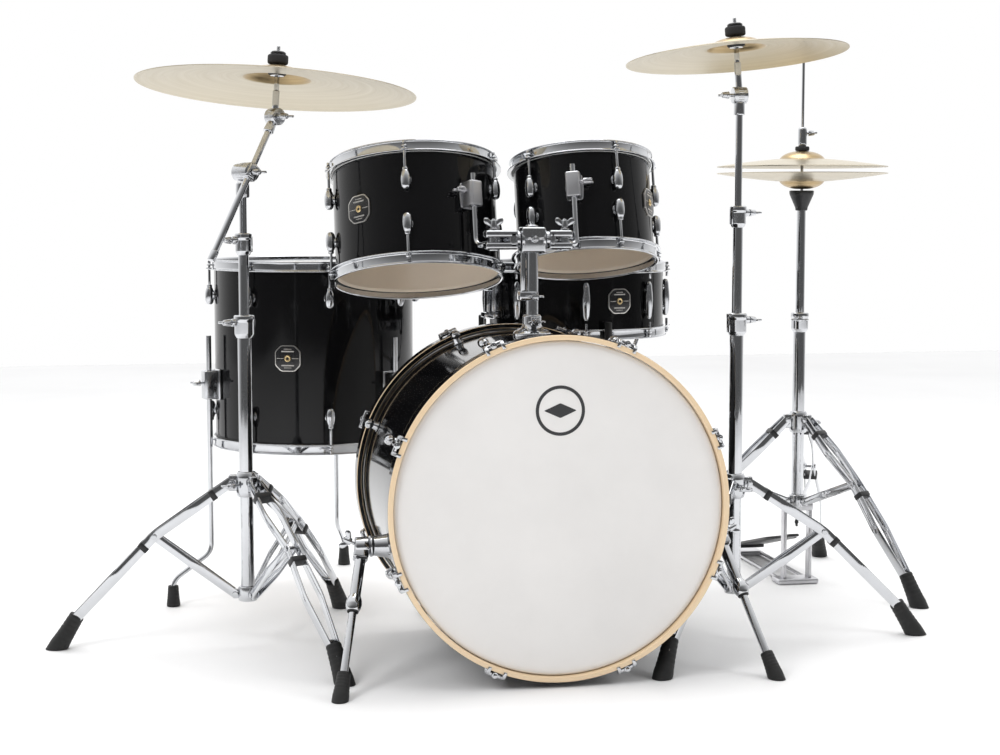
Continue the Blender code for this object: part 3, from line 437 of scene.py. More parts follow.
# Cymbal turning marks: fine rings whose pitch and depth wander, and a slow colour change.
TURNING = node_group(
    "turning_marks",
    {"Colour": None, "Dark Colour": None, "Pitch": 900.0, "Depth": 0.00006},
    ["Colour", "Roughness", "Normal"],
    {
        "place": ("UVMap", {"uv_map": "round"}),
        "split": ("SeparateXYZ", {}),
        "rings": ("TexNoise", {"noise_dimensions": "1D", "Detail": 3.0, "Roughness": 0.75}),
        "bands": ("TexNoise", {"noise_dimensions": "1D", "Scale": 55.0, "Detail": 2.0}),
        "streaks": ("TexNoise", {"Scale": 14.0, "Detail": 4.0}),
        "squeeze": ("Mapping", {"Scale": (0.35, 12.0, 1.0)}),
        "mix": ("Mix", {"data_type": "RGBA"}),
        "both": ("Math", {"operation": "MULTIPLY"}),
        "contrast": ("MapRange", {"From Min": 0.12, "From Max": 0.42}),
        "rough": ("MapRange", {"To Min": 0.22, "To Max": 0.42}),
        "bump": ("Bump", {"Strength": 0.6}),
    },
    [
        "place.UV > split.0", "split.Y > rings.W", "start.Pitch > rings.Scale", "split.Y > bands.W",
        "place.UV > squeeze.Vector", "squeeze.Vector > streaks.Vector", "rings.Fac > both.0",
        "bands.Fac > both.1", "both.0 > contrast.Value", "contrast.Result > mix.0",
        "start.Dark Colour > mix.6", "start.Colour > mix.7", "mix.2 > end.Colour",
        "streaks.Fac > rough.Value", "rough.Result > end.Roughness", "rings.Fac > bump.Height",
        "start.Depth > bump.Distance", "bump.Normal > end.Normal",
    ],
)

# Maple: long fibres, darker figure across them, and open pores.
VENEER = node_group(
    "maple_figure",
    {"Pale": None, "Dark": None, "Fibre": 60.0},
    ["Colour", "Normal"],
    {
        "place": ("UVMap", {"uv_map": "round"}),
        "stretch": ("Mapping", {"Scale": (0.05, 3.0, 1.0)}),
        "fibres": ("TexNoise", {"Detail": 8.0, "Roughness": 0.65}),
        "figure": ("TexNoise", {"Scale": 9.0, "Detail": 3.0}),
        "blend": ("Mix", {"data_type": "FLOAT", 0: 0.35}),
        "mix": ("Mix", {"data_type": "RGBA"}),
        "bump": ("Bump", {"Strength": 0.25, "Distance": 0.00004}),
    },
    [
        "place.UV > stretch.Vector", "stretch.Vector > fibres.Vector", "start.Fibre > fibres.Scale",
        "place.UV > figure.Vector", "fibres.Fac > blend.2", "figure.Fac > blend.3", "blend.0 > mix.0",
        "start.Dark > mix.6", "start.Pale > mix.7", "mix.2 > end.Colour", "fibres.Fac > bump.Height",
        "bump.Normal > end.Normal",
    ],
)


def with_group(made, group, **values):
    """The finish with a group's outputs in place of its colour, roughness and normal."""
    tree = made.node_tree
    marks = tree.nodes.new("ShaderNodeGroup")
    marks.node_tree = group
    for name, value in values.items():
        marks.inputs[name.replace("_", " ")].default_value = (*value, 1.0) if isinstance(value,
            tuple) else value
    for output in marks.outputs:
        target = "Base Color" if output.name == "Colour" else output.name
        tree.links.new(output, tree.nodes["Principled BSDF"].inputs[target])
    return made


def handled(name, colour, roughness, metallic=0.0, smear=0.05, scale=18.0, grain=0.00001, **sockets):
    """A finish with fingerprints, faint dust and fine surface grain."""
    made = material(name, colour, roughness, metallic, **sockets)
    return with_group(made, HANDLING, Colour=colour, Roughness=roughness, Smear=smear, Scale=scale,
        Grain_Depth=grain)


def cymbal_finish(name, colour, dark, pitch, depth):
    made = material(name, colour, 0.3, 1.0)
    return with_group(made, TURNING, Colour=colour, Dark_Colour=dark, Pitch=pitch, Depth=depth)


def veneer(name, pale, dark, roughness, fibre, **sockets):
    made = material(name, pale, roughness, **sockets)
    return with_group(made, VENEER, Pale=pale, Dark=dark, Fibre=fibre)


LACQUER = handled("black_lacquer", (0.004, 0.004, 0.0045), 0.06, smear=0.03, grain=0.000002,
    Specular_IOR_Level=0.28)
CHROME = handled("chrome", (0.63, 0.64, 0.66), 0.05, 1.0, smear=0.06, scale=30.0, grain=0.000002)
CAST = handled("plated_casting", (0.6, 0.61, 0.63), 0.09, 1.0, smear=0.1, scale=40.0, grain=0.00001)
SATIN = handled("satin_aluminium", (0.62, 0.62, 0.64), 0.34, 1.0, smear=0.12, grain=0.00002)
MAPLE = veneer("maple_hoop", (0.86, 0.68, 0.46), (0.74, 0.54, 0.33), 0.28, 60.0, Coat_Weight=0.6,
    Coat_Roughness=0.12)
INNER_PLY = veneer("inner_ply", (0.98, 0.86, 0.7), (0.9, 0.75, 0.58), 0.5, 40.0)
COATED = handled("coated_film", (0.7, 0.7, 0.69), 0.55, smear=0.08, scale=7.0, grain=0.00004)
SMOOTH_WHITE = handled("smooth_white_film", (0.8, 0.785, 0.77), 0.3, smear=0.05, scale=5.0,
    grain=0.000004)
CLEAR = handled("clear_film", (0.97, 0.93, 0.86), 0.1, smear=0.08, scale=9.0, Alpha=0.06)
RUBBER = handled("black_rubber", (0.012, 0.012, 0.012), 0.55, smear=0.15, scale=60.0, grain=0.00006)
NYLON = handled("black_nylon", (0.018, 0.018, 0.019), 0.38, smear=0.1, grain=0.00001)
FELT = handled("black_felt", (0.035, 0.035, 0.037), 0.95, smear=0.03, scale=120.0, grain=0.0004)
WHITE_FELT = handled("white_felt", (0.8, 0.79, 0.76), 0.95, smear=0.03, scale=120.0, grain=0.0004)
BLACK_PAINT = handled("black_paint", (0.02, 0.02, 0.021), 0.35, smear=0.12, grain=0.00002)
STEEL = handled("bright_wire", (0.66, 0.66, 0.67), 0.22, 1.0, smear=0.08, scale=50.0)
BRONZE = cymbal_finish("cymbal_bronze", (0.58, 0.52, 0.4), (0.5, 0.44, 0.32), 900.0, 0.00005)
BELL_BRONZE = cymbal_finish("bell_bronze", (0.5, 0.38, 0.22), (0.34, 0.25, 0.13), 500.0, 0.00004)
BADGE = handled("badge_metal", (0.6, 0.58, 0.55), 0.28, 1.0, smear=0.08, scale=60.0)
BRASS = handled("brass_grommet", (0.78, 0.6, 0.32), 0.24, 1.0, smear=0.06, scale=60.0)
BADGE_DARK = handled("badge_enamel", (0.012, 0.012, 0.013), 0.25, smear=0.05, scale=60.0)
EMBLEM = handled("head_print", (0.035, 0.035, 0.037), 0.45, smear=0.05, scale=30.0)


# Small hardware.


def wing_nut(centre, outward, length=0.03, span=0.036, up=UP):
    """A screw with a two-winged nut, standing out of a clamp."""
    centre, outward = Vector(centre), Vector(outward).normalized()
    across = up.cross(outward).normalized()
    tip = centre + outward * length
    pieces = [
        pin(centre, tip + outward * 0.003, 0.003, segments=16),
        pin(tip - outward * 0.012, tip + outward * 0.001, 0.0068, 0.005, segments=24),
    ]
    wing = [(0.003, -0.005), (span / 2 - 0.004, -0.0005), (span / 2, 0.004), (span / 2 - 0.001, 0.0105),
            (span / 2 - 0.007, 0.011), (0.0035, 0.0045)]
    for side in (-1, 1):
        base = columns(across * side, outward, (across * side).cross(outward), tip - outward * 0.006)
        pieces.append(plate(base, soften(wing, 0.003, 4), 0.0042, 0.0014, 3))
    return pieces


def tension_rod(base, bearing, edge, radius, length):
    """A square-headed rod with its washer, through the hoop's ear."""
    head = around(base, bearing, radius + ROD_OUT, edge + 0.0035)
    pieces = [
        slab(shifted(head, z=0.0015), (0.0056, 0.0056, 0.0085), 0.0008, 2),
        pin(point_on(head, z=-0.0045), point_on(head, z=-0.0015), 0.0058, 0.0048, segments=24),
        pin(point_on(head, z=-0.011), point_on(head, z=-0.0085), 0.0068, edge=0.0006),
        pin(point_on(head, z=-0.012 - length), point_on(head, z=-0.001), 0.0026, segments=16),
    ]
    return pieces


def teardrop_lug(base, bearing, edge, radius, out=ROD_OUT, scale=1.0):
    """A bullet-shaped lug on a round foot, with a swivel collar where the rod goes in."""
    place = around(base, bearing, radius + out, edge - LUG_DROP)
    body = [(0.0, -0.0205), (0.004, -0.02), (0.0072, -0.0165), (0.0088, -0.0105), (0.0092, -0.002),
        (0.0086, 0.006), (0.0068, 0.0125), (0.0052, 0.0152), (0.0056, 0.018), (0.0046, 0.0205),
        (0.0, 0.0205)]
    body = [(r * scale, z * scale) for r, z in body]
    foot = point_on(place, y=-out + 0.0004, z=-0.001)
    return [
        turned(place, body, 0.003, 32),
        pin(foot, point_on(place, y=-0.001, z=-0.001), 0.0082, 0.0058, edge=0.0015),
        pin(foot, foot + (place.to_3x3() @ Vector((0, 0.0018, 0))), 0.01, edge=0.001),
    ]


def flanged_hoop(base, radius, edge, segments=160):
    """A pressed steel hoop: collar, rolled top lip and flat lower flange."""
    inner = radius + 0.0024
    low = edge - HOOP_BELOW
    high = edge + HOOP_ABOVE
    outline = [(inner, low + 0.002), (inner + 0.0022, low), (radius + HOOP_EAR - 0.0006, low),
        (radius + HOOP_EAR, low + 0.001), (radius + HOOP_EAR - 0.0006, low + 0.0022),
        (inner + 0.004, low + 0.0024), (inner + 0.0023, low + 0.0042), (inner + 0.0023, high - 0.0042),
        (inner + 0.0032, high - 0.0026), (radius + 0.0072, high - 0.0028), (radius + 0.0077, high - 0.0014),
        (radius + 0.0068, high - 0.0002), (inner + 0.0018, high), (inner, high - 0.0016)]
    return bored(base, outline, 0.0012, segments)


def hoop_set(name, base, radius, edge, bearings, node, rod_length, lugs=True):
    pieces = [flanged_hoop(base, radius, edge)]
    stand_in(name + "_pressing", pieces, CHROME, node)
    rods = [part for bearing in bearings for part in tension_rod(base, bearing, edge, radius, rod_length)]
    make(name + "_rods", rods, CHROME, node)
    if lugs:
        cast = [part for bearing in bearings for part in teardrop_lug(base, bearing, edge, radius)]
        make(name + "_lugs", cast, CAST, node)


# Shells and heads.


def shell(name, base, radius, depth, node):
    """Lacquered outside, bare ply inside, with bearing edges cut at 45 degrees."""
    half = depth / 2
    wall = radius - SHELL_WALL
    outline = [(wall, -half + 0.0045), (radius - 0.0028, -half), (radius - 0.0018, -half),
        (radius, -half + 0.002), (radius, half - 0.002), (radius - 0.0018, half), (radius - 0.0028, half),
        (wall, half - 0.0045)]
    obj = stand_in(name, [lathe(base, outline, 192)], LACQUER, node, angle=30)
    wrap_uv(obj, base)
    obj.data.materials.append(INNER_PLY)
    back = base.inverted()
    for polygon in obj.data.polygons:
        middle = back @ polygon.center
        if middle.xy.length < radius - 0.0012:
            polygon.material_index = 1
    return obj


def head(name, base, radius, edge, node, look):
    """A film with a rounded collar over the bearing edge and its flesh hoop outside the shell."""
    film = edge + 0.0004
    outline = [(0.0, film + 0.0006), (radius - 0.018, film + 0.0006), (radius - 0.008, film + 0.001),
        (radius - 0.001, film + 0.0012), (radius + 0.0016, film - 0.0008),
        (radius + 0.002, film - 0.003), (radius + 0.0021, edge - 0.0085),
        (radius + 0.0004, edge - 0.0088), (radius + 0.0004, film - 0.002),
        (radius - 0.0006, film - 0.0002), (radius - 0.008, film), (0.0, film)]
    obj = stand_in(name, [lathe(base, outline, 160, ring=False)], look, node, angle=60)
    wrap_uv(obj, base)
    return obj


def badge(name, base, radius, bearing, height, node, size=0.046):
    """A silver octagon with black enamel, a brass vent grommet and plain bars."""
    place = around(base, bearing, radius, height)
    flat = shifted(place @ Matrix.Rotation(-math.pi / 2, 4, "X"), z=0.0009)
    cut = size * 0.26
    half = size * 0.56
    outline = [(-half + cut, -half), (half - cut, -half), (half, -half + cut), (half, half - cut),
               (half - cut, half), (-half + cut, half), (-half, half - cut), (-half, -half + cut)]
    inner = [(x * 0.93, y * 0.93) for x, y in outline]
    sunk = shifted(flat, z=-0.0012)
    make(name + "_plate", [plate(sunk, soften(outline, 0.004, 4), 0.004, 0.0005)], BADGE, node)
    lift = Matrix.Translation((0, 0, 0.0006))
    make(name + "_enamel", [plate(flat @ lift, soften(inner, 0.004, 4), 0.001, 0.0002)], BADGE_DARK, node)
    top = shifted(flat, z=0.0012)
    grommet = [(0.0026, -0.001), (0.0062, -0.001), (0.0066, 0.0006), (0.0052, 0.0016), (0.0032, 0.0012),
        (0.0026, 0.0004)]
    make(name + "_grommet", [bored(top, grommet, 0.0005, 40, 2)], BRASS, node)
    trim = []
    for side in (-1, 1):
        for rise, width in ((0.0, 0.3), (0.3, 0.56), (0.4, 0.34)):
            shift = side * size * 0.33 if rise == 0.0 else 0.0
            bar = shifted(top, shift, side * size * rise, -0.0001)
            trim.append(slab(bar, (size * width, 0.0012 if rise != 0.3 else 0.0026, 0.0005), 0.0002, 1))
    make(name + "_bars", trim, BADGE, node)


def flanged_drum(name, bearings, rod_length=0.046, lugs=True):
    """A drum with two pressed hoops. Returns its frame, shell radius and half depth."""
    base, radius, edge = drum_measures(name + "_batter_head", name + "_resonant_head")
    shell(name + "_wrap", base, radius, 2 * edge, name + "_shell")
    head(name + "_batter_film", base, radius, edge, name + "_batter_head", COATED)
    under = flipped(base)
    mirrored = [-bearing for bearing in bearings]
    head(name + "_clear_film", under, radius, edge, name + "_resonant_head", CLEAR)
    hoop_set(name + "_top", base, radius, edge, bearings, name + "_top_hoop", rod_length, lugs)
    hoop_set(name + "_bottom", under, radius, edge, mirrored, name + "_bottom_hoop", rod_length, lugs)
    return base, radius, edge


# The bass drum.


def claw(base, bearing, outer, face):
    """Two jaws that hook over the hoop's face, joined by a bridge that the rod pulls on."""
    pieces = []
    hook = [(outer - 0.0056, face - 0.0004), (outer - 0.0056, face + 0.0026),
        (outer + 0.0035, face + 0.0026), (outer + 0.0085, face - 0.003), (outer + 0.0095, face - 0.016),
        (outer + 0.003, face - 0.019), (outer + 0.0008, face - 0.015), (outer + 0.0008, face - 0.0004)]
    for side in (-1, 1):
        place = shifted(around(base, bearing), side * 0.0142)
        flat = place @ Matrix(((0, 0, 1, 0), (1, 0, 0, 0), (0, 1, 0, 0), (0, 0, 0, 1)))
        pieces.append(plate(flat, soften(hook, 0.0015, 3), 0.0062, 0.001, 2))
    bridge = around(base, bearing, outer + 0.0056, face - 0.0125)
    pieces.append(slab(bridge, (0.033, 0.008, 0.011), 0.0028, 4))
    return pieces


def wood_hoop(name, base, edge, node):
    radius = BASS_RADIUS
    inner = radius + 0.0031
    outer = inner + 0.009
    face = edge + 0.0115
    back = face - 0.038
    ring = [(inner, back), (outer, back), (outer, face), (inner, face)]
    obj = stand_in(name + "_ring", [bored(base, ring, 0.0016, 256, 4)], MAPLE, node)
    wrap_uv(obj, base)
    inlay = [(outer - 0.001, back + 0.003), (outer + 0.0002, back + 0.003),
        (outer + 0.0002, face - 0.003), (outer - 0.001, face - 0.003)]
    band = [(inner + 0.0014, back - 0.0002), (outer - 0.0012, back - 0.0002),
        (outer - 0.0012, back + 0.001), (inner + 0.0014, back + 0.001)]
    make(name + "_inlay", [lathe(base, inlay, 256), lathe(base, band, 256)], LACQUER, node)
    lug_top = back - 0.04
    claws, rods, lugs = [], [], []
    for bearing in BASS_BEARINGS:
        claws += claw(base, bearing, outer, face)
        head_at = around(base, bearing, outer + 0.006, face - 0.004)
        rods.append(pin(point_on(head_at, z=-0.004), point_on(head_at, z=0.001), 0.0056,
                edge=0.001))
        rods.append(slab(shifted(head_at, z=0.003), (0.0056, 0.0056, 0.008), 0.0008, 2))
        rods.append(pin(point_on(head_at, z=0.0), around(base, bearing, outer + 0.006,
                    lug_top - 0.004).translation, 0.0028, segments=16))
        lugs += teardrop_lug(base, bearing, lug_top - 0.017 + LUG_DROP, radius, outer + 0.006 - radius)
    make(name + "_claws", claws, CAST, node)
    make(name + "_rods", rods, CHROME, node)
    make(name + "_lugs", lugs, CAST, node)


def emblem(base, edge):
    """A plain printed ring with a lozenge in it, near the top of the front head."""
    place = around(base, 180.0, 0.165, edge + 0.001)
    ring = [(0.0365, -0.0004), (0.042, -0.0004), (0.042, 0.0003), (0.0365, 0.0003)]
    lozenge = [(0.0, -0.0125), (0.028, 0.0), (0.0, 0.0125), (-0.028, 0.0)]
    pieces = [lathe(place, ring, 96), plate(place, soften(lozenge, 0.002, 3), 0.0006, 0.00004, 1)]
    make("head_emblem", pieces, EMBLEM, "bass_front_head")


def bass_drum():
    base, _, edge = drum_measures("bass_batter_head", "bass_front_head")
    front = flipped(base)
    shell("bass_wrap", base, BASS_RADIUS, 2 * edge, "bass_shell")
    head("bass_batter_film", base, BASS_RADIUS, edge, "bass_batter_head", COATED)
    head("bass_front_film", front, BASS_RADIUS, edge, "bass_front_head", SMOOTH_WHITE)
    wood_hoop("bass_back_hoop", base, edge, "bass_back_hoop")
    wood_hoop("bass_front_hoop", front, edge, "bass_front_hoop")
    for side, name in ((-1, "left"), (1, "right")):
        spur(base, side, name)
    holder_base(base)
    emblem(front, edge)


def spur(base, side, name):
    hinge = pivot(f"{name}_spur_fold")
    along = axis_of(f"{name}_spur_length")
    out = Vector((side, 0.0, 0.0))
    shell_x = base.translation.x + side * math.sqrt(BASS_RADIUS**2 - (base.translation.z - hinge.z) ** 2)
    root = Vector((shell_x - side * 0.01, hinge.y, hinge.z))
    face = Vector((hinge.x - side * 0.0128, hinge.y, hinge.z))
    length = abs(face.x - root.x)
    barrel = [(0.0, 0.0), (0.0235, 0.0), (0.0235, 0.01), (0.0205, 0.014), (0.0165, length - 0.006),
        (0.0185, length - 0.004), (0.0185, length), (0.0, length)]
    bracket = [turned(frame_at(root, out, (0, 1, 0)), barrel, 0.002, 56)]
    make(f"{name}_spur_bracket", bracket, CAST, "bass_shell")
    end = hinge + along * 0.12
    ball = [(0.0086, -0.03), (0.0098, -0.028), (0.0128, -0.02), (0.0138, -0.012), (0.0122, -0.004),
        (0.0102, 0.0), (0.0086, 0.0)]
    tube = [
        sleeve(hinge + along * 0.012, end - along * 0.004, 0.0094, 0.008),
        bored(frame_at(end, along), ball, 0.002, 48),
        slab(frame_at(hinge + along * 0.01, along), (0.026, 0.024, 0.03), 0.004, 4),
        pin(hinge - out * 0.0122, hinge + out * 0.0125, 0.0165, edge=0.003, segments=48),
        *wing_nut(hinge + out * 0.01 + UP * 0.004, (out + UP * 0.5), 0.022, 0.034, Vector((0, 1, 0))),
    ]
    stand_in(f"{name}_spur_sleeve", tube, CHROME, f"{name}_spur_tube")
    insert = hinge + along * 0.01 + Vector((0.0, -0.0118, 0.0))
    trim = [slab(frame_at(insert, along), (0.019, 0.003, 0.019), 0.001, 2),
            sleeve(end - along * 0.0002, end + along * 0.0024, 0.0098, 0.008)]
    make(f"{name}_spur_trim", trim, NYLON, f"{name}_spur_tube")
    low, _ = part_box(f"{name}_spur_leg")
    tip = hinge + along * ((low.z - hinge.z) / along.z - 0.003)
    stand_in(f"{name}_spur_rod", [pin(hinge + along * 0.075, tip - along * 0.012, 0.0066)], CHROME,
        f"{name}_spur_leg")
    make(f"{name}_spur_foot", [boot(tip, along, 0.046, 0.0105, 0.014)], RUBBER, f"{name}_spur_leg")


def boot(tip, along, length, neck, radius):
    """A rubber boot with shallow ribs, cut flat where it meets the floor."""
    along = Vector(along).normalized()
    start = Vector(tip) - along * length
    outline = [(0.0, 0.0), (neck, 0.0), (neck + 0.0008, 0.004)]
    for k in range(5):
        z = length * (0.12 + 0.13 * k)
        grow = (radius - neck) * (z / length) ** 1.5
        outline += [(neck + grow + 0.0002, z), (neck + grow + 0.0009, z + length * 0.03),
            (neck + grow + 0.0009, z + length * 0.09)]
    outline += [(radius, length * 0.86), (radius, length * 1.3), (0.0, length * 1.3)]
    bm = turned(frame_at(start, along, beside(along)), outline, 0.001, 40, 2)
    cut = bmesh.ops.bisect_plane(bm, geom=[*bm.verts, *bm.edges, *bm.faces], plane_co=(0, 0, 0.0002),
        plane_no=(0, 0, -1), clear_outer=True)
    rim = [item for item in cut["geom_cut"] if isinstance(item, bmesh.types.BMEdge)]
    bmesh.ops.holes_fill(bm, edges=rim, sides=0)
    bmesh.ops.recalc_face_normals(bm, faces=bm.faces)
    return bm


def holder_base(base):
    """The flange and socket on the shell that take the tom holder's post."""
    top = base.translation.z + BASS_RADIUS
    x, y = base.translation.x, base.translation.y
    at = upright(x, y)
    flange = [(0.0118, top - 0.006), (0.033, top - 0.006), (0.034, top + 0.004), (0.03, top + 0.009),
        (0.02, top + 0.013), (0.0165, top + 0.02), (0.0165, top + 0.034), (0.015, top + 0.037),
        (0.0118, top + 0.037)]
    pieces = [bored(at, flange, 0.002, 96)]
    pieces.append(slab(upright(x, y - 0.019, top + 0.026), (0.014, 0.016, 0.016), 0.002))
    for k in range(4):
        screw = compass(45 + 90 * k) * 0.0265
        pieces.append(pin((x + screw.x, y + screw.y, top + 0.004), (x + screw.x, y + screw.y, top + 0.0115),
                0.004))
    pieces += wing_nut((x, y - 0.022, top + 0.026), (0, -1, 0), 0.016, 0.032)
    make("holder_flange", pieces, CAST, "bass_shell")


# The tom holder and the rack toms.


def tom_holder():
    node = "tom_holder_post"
    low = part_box(node)[0]
    hinge = pivot("left_tom_tilt")
    x, y = box_middle("bass_shell").x, box_middle("bass_shell").y
    height = hinge.z
    pieces = [
        sleeve((x, y, low.z), (x, y, height), 0.0108, 0.009),
        pin((x - 0.0165, y, height - 0.105), (x - 0.0165, y, height), 0.0048),
        slab(upright(x - 0.008, y, height - 0.099), (0.034, 0.028, 0.017), 0.003),
        *wing_nut((x, y - 0.012, height - 0.099), (0, -1, 0), 0.018, 0.03),
    ]
    stand_in("holder_post", pieces, CHROME, node)
    body = [
        slab(upright(x, y, height), (0.0434, 0.036, 0.045), 0.004, 4),
        pin((x, y, height + 0.018), (x, y, height + 0.0265), 0.013, 0.011, edge=0.002),
        *wing_nut((x, y - 0.016, height + 0.002), (0, -1, 0), 0.016, 0.032),
    ]
    for side in (-1, 1):
        cheek = Vector((x + side * 0.0165, y, height))
        body.append(pin(cheek, cheek + Vector((side * 0.005, 0, 0)), 0.0195, edge=0.0015, segments=48))
    make("holder_block", body, CAST, node)


def tom_arm(side_name, side, base, bearing, radius, node):
    start = pivot(f"{side_name}_tom_tilt")
    ratchet = start + Vector((side * 0.026, 0.0, 0.0))
    bracket = around(base, bearing, radius + 0.0225, 0.014)
    rise = bracket.to_3x3() @ UP
    on_rod = bracket.translation
    corner = on_rod - rise * ((on_rod.z - start.z + 0.012) / rise.z)
    top = on_rod + rise * 0.038
    plane = (corner - ratchet).cross(top - corner)
    path = rounded_path([ratchet, corner, top], 0.016, 10)
    rod = [carried(path, circle(ARM_RADIUS, 28), plane)]
    stand_in(f"{side_name}_arm_rod", rod, CHROME, node)
    teeth = []
    for k in range(24):
        turn = Matrix.Translation(start + Vector((side * 0.003, 0,
                    0))) @ Matrix.Rotation(math.tau * k / 24, 4, "X")
        teeth.append(slab(shifted(turn, z=0.0135), (0.004, 0.0018, 0.0052), 0.0005, 1))
    reach = 0.058 if side < 0 else 0.042
    casting = start + Vector((side * (reach / 2 + 0.006), -0.001, 0.0))
    clamp = [pin(start + Vector((side * 0.0006, 0, 0)), start + Vector((side * 0.012, 0, 0)), 0.016,
            edge=0.0025, segments=48), slab(frame_at(casting + UP * 0.0105, UP), (reach, 0.034, 0.013),
            0.004, 4), slab(frame_at(casting - UP * 0.0105, UP), (reach, 0.034, 0.013), 0.004, 4),
        slab(frame_at(casting - Vector((side * reach * 0.36, 0, 0)), UP), (reach * 0.26, 0.034, 0.03),
            0.004, 4), pin(casting + Vector((side * reach * 0.22, 0, -0.019)),
            casting + Vector((side * reach * 0.22, 0, 0.02)), 0.0085),
        *wing_nut(casting + Vector((side * reach * 0.22, 0, 0.016)), UP, 0.018, 0.036, Vector((0, 1, 0))),
        *teeth]
    make(f"{side_name}_arm_clamp", clamp, CAST, node)


def clevis(place, cheek, apart, bridge, out):
    """Two cheeks on either side of a rod and the bridge in front of them."""
    sides = [slab(shifted(place, side * apart, out, 0), cheek[:3], cheek[3], 4) for side in (1, -1)]
    return [*sides, slab(shifted(place, y=bridge[0]), bridge[1:], 0.003, 4)]


def tom_bracket(name, base, bearing, radius, node, way=1):
    """A satin casting on the tom's side that grips the arm's upright rod with a wing nut."""
    place = around(base, bearing, radius, 0.014)
    shape = [(-0.0145, -0.024), (0.0145, -0.024), (0.017, 0.0), (0.0145, 0.024), (-0.0145, 0.024),
        (-0.017, 0.0)]
    flat = place @ Matrix.Rotation(-math.pi / 2, 4, "X")
    pieces = [
        plate(shifted(flat, z=0.0025), soften(shape, 0.006, 4), 0.0046, 0.0014, 3),
        *clevis(place, (0.008, 0.03, 0.046, 0.0025), 0.0092, (0.0305, 0.024, 0.0075, 0.046), 0.016),
    ]
    for height in (-0.018, 0.018):
        spot = point_on(place, y=0.004, z=height)
        pieces.append(pin(spot, spot + place.to_3x3() @ Vector((0, 0.003, 0)), 0.0036))
    out = place.to_3x3() @ Vector((way, 0, 0))
    pieces += wing_nut(point_on(place, way * 0.0125, 0.018, 0.006), out, 0.018, 0.03, place.to_3x3() @ UP)
    make(name, pieces, SATIN, node)


def rack_toms():
    base, radius, _ = flanged_drum("tom12", TOM12_BEARINGS)
    tom_arm("left", -1, base, TOM12_BRACKET, radius, "left_tom_arm")
    tom_bracket("tom12_bracket", base, TOM12_BRACKET, radius, "tom12_shell")
    badge("tom12_badge", base, radius, 230.0, 0.0, "tom12_shell")
    base, radius, _ = flanged_drum("tom10", TOM10_BEARINGS)
    tom_arm("right", 1, base, TOM10_BRACKET, radius, "right_tom_arm")
    tom_bracket("tom10_bracket", base, TOM10_BRACKET, radius, "tom10_shell", -1)
    badge("tom10_badge", base, radius, 122.0, 0.0, "tom10_shell")


# The floor tom.


def floor_tom():
    base, radius, _ = flanged_drum("floor_tom", FLOOR_TOM_BEARINGS)
    badge("floor_tom_badge", base, radius, 200.0, 0.0, "floor_tom_shell")
    for name, bearing in FLOOR_TOM_LEGS.items():
        node = f"floor_tom_{name}_leg"
        out = radius + 0.021
        top = around(base, bearing, out).translation
        top.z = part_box(node)[1].z
        knee = top.copy()
        knee.z = 0.105
        outward = compass(bearing)
        foot = Vector((base.translation.x, base.translation.y, 0.0)) + outward * 0.305
        ankle = Vector((foot.x, foot.y, 0.052))
        path = rounded_path([top, knee, ankle, foot + UP * 0.02], 0.018, 10)
        stand_in(f"{node}_rod", [carried(path, circle(ARM_RADIUS, 24), compass(bearing + 90.0))], CHROME,
            node)
        make(f"{node}_foot", [boot(foot, -UP, 0.042, 0.01, 0.0135)], RUBBER, node)
        place = around(base, bearing, radius, LEG_BRACKET_HEIGHT - base.translation.z)
        pieces = [
            slab(shifted(place, y=0.003), (0.034, 0.006, 0.062), 0.002, 3),
            *clevis(place, (0.0085, 0.03, 0.058, 0.003), 0.01, (0.03, 0.027, 0.0075, 0.058), 0.017),
            *wing_nut(point_on(place, y=0.032, z=0.004), outward, 0.02, 0.034),
        ]
        make(f"floor_tom_{name}_bracket", pieces, CAST, "floor_tom_shell")


# The snare drum and its stand.


def snare_drum():
    base, radius, edge = flanged_drum("snare", SNARE_BEARINGS, 0.012, lugs=False)
    half = edge - 0.026
    long_lug = [(0.0, -half), (0.0036, -half), (0.0062, -half + 0.006), (0.0084, -0.01), (0.0088, 0.0),
                (0.0084, 0.01), (0.0062, half - 0.006), (0.0036, half), (0.0, half)]
    lugs = []
    for bearing in SNARE_BEARINGS:
        place = around(base, bearing, radius + 0.007)
        lugs.append(turned(place, long_lug, 0.004, 32, 4))
        for end in (-half * 0.55, half * 0.55):
            foot = point_on(place, y=-0.0068, z=end)
            lugs.append(pin(foot, point_on(place, z=end), 0.0075, 0.006, edge=0.001))
    make("snare_lugs", lugs, CAST, "snare_shell")
    badge("snare_badge", base, radius, 165.0, 0.0, "snare_shell", 0.044)
    strainer(base, radius)
    wires(base)
    butt = around(base, STRAINER_BEARING + 180.0, radius + 0.006, -0.03)
    make("snare_butt_plate", [slab(butt, (0.04, 0.012, 0.03), 0.003), slab(shifted(butt, y=0.008),
         (0.032, 0.006, 0.018), 0.002)], CAST, "snare_shell")


def strainer(base, radius):
    place = around(base, STRAINER_BEARING, radius + 0.01, -0.004)
    body = [slab(place, (0.03, 0.024, 0.07), 0.004, 4), slab(shifted(place, 0, 0.003, -0.026),
            (0.036, 0.018, 0.016), 0.003)]
    body.append(pin(point_on(place, z=0.03), point_on(place, z=0.048), 0.007, edge=0.0015))
    make("strainer_body", body, CAST, "snare_shell")
    out = radius + 0.0235
    arm = around(base, STRAINER_BEARING, out + 0.004, -0.0068)
    grip = around(base, STRAINER_BEARING, out + 0.0085, -0.03)
    lever = [slab(arm, (0.015, 0.0065, 0.052), 0.002, 3), slab(grip, (0.021, 0.01, 0.011), 0.003, 4)]
    stand_in("strainer_arm", lever, CHROME, "snare_strainer_lever")


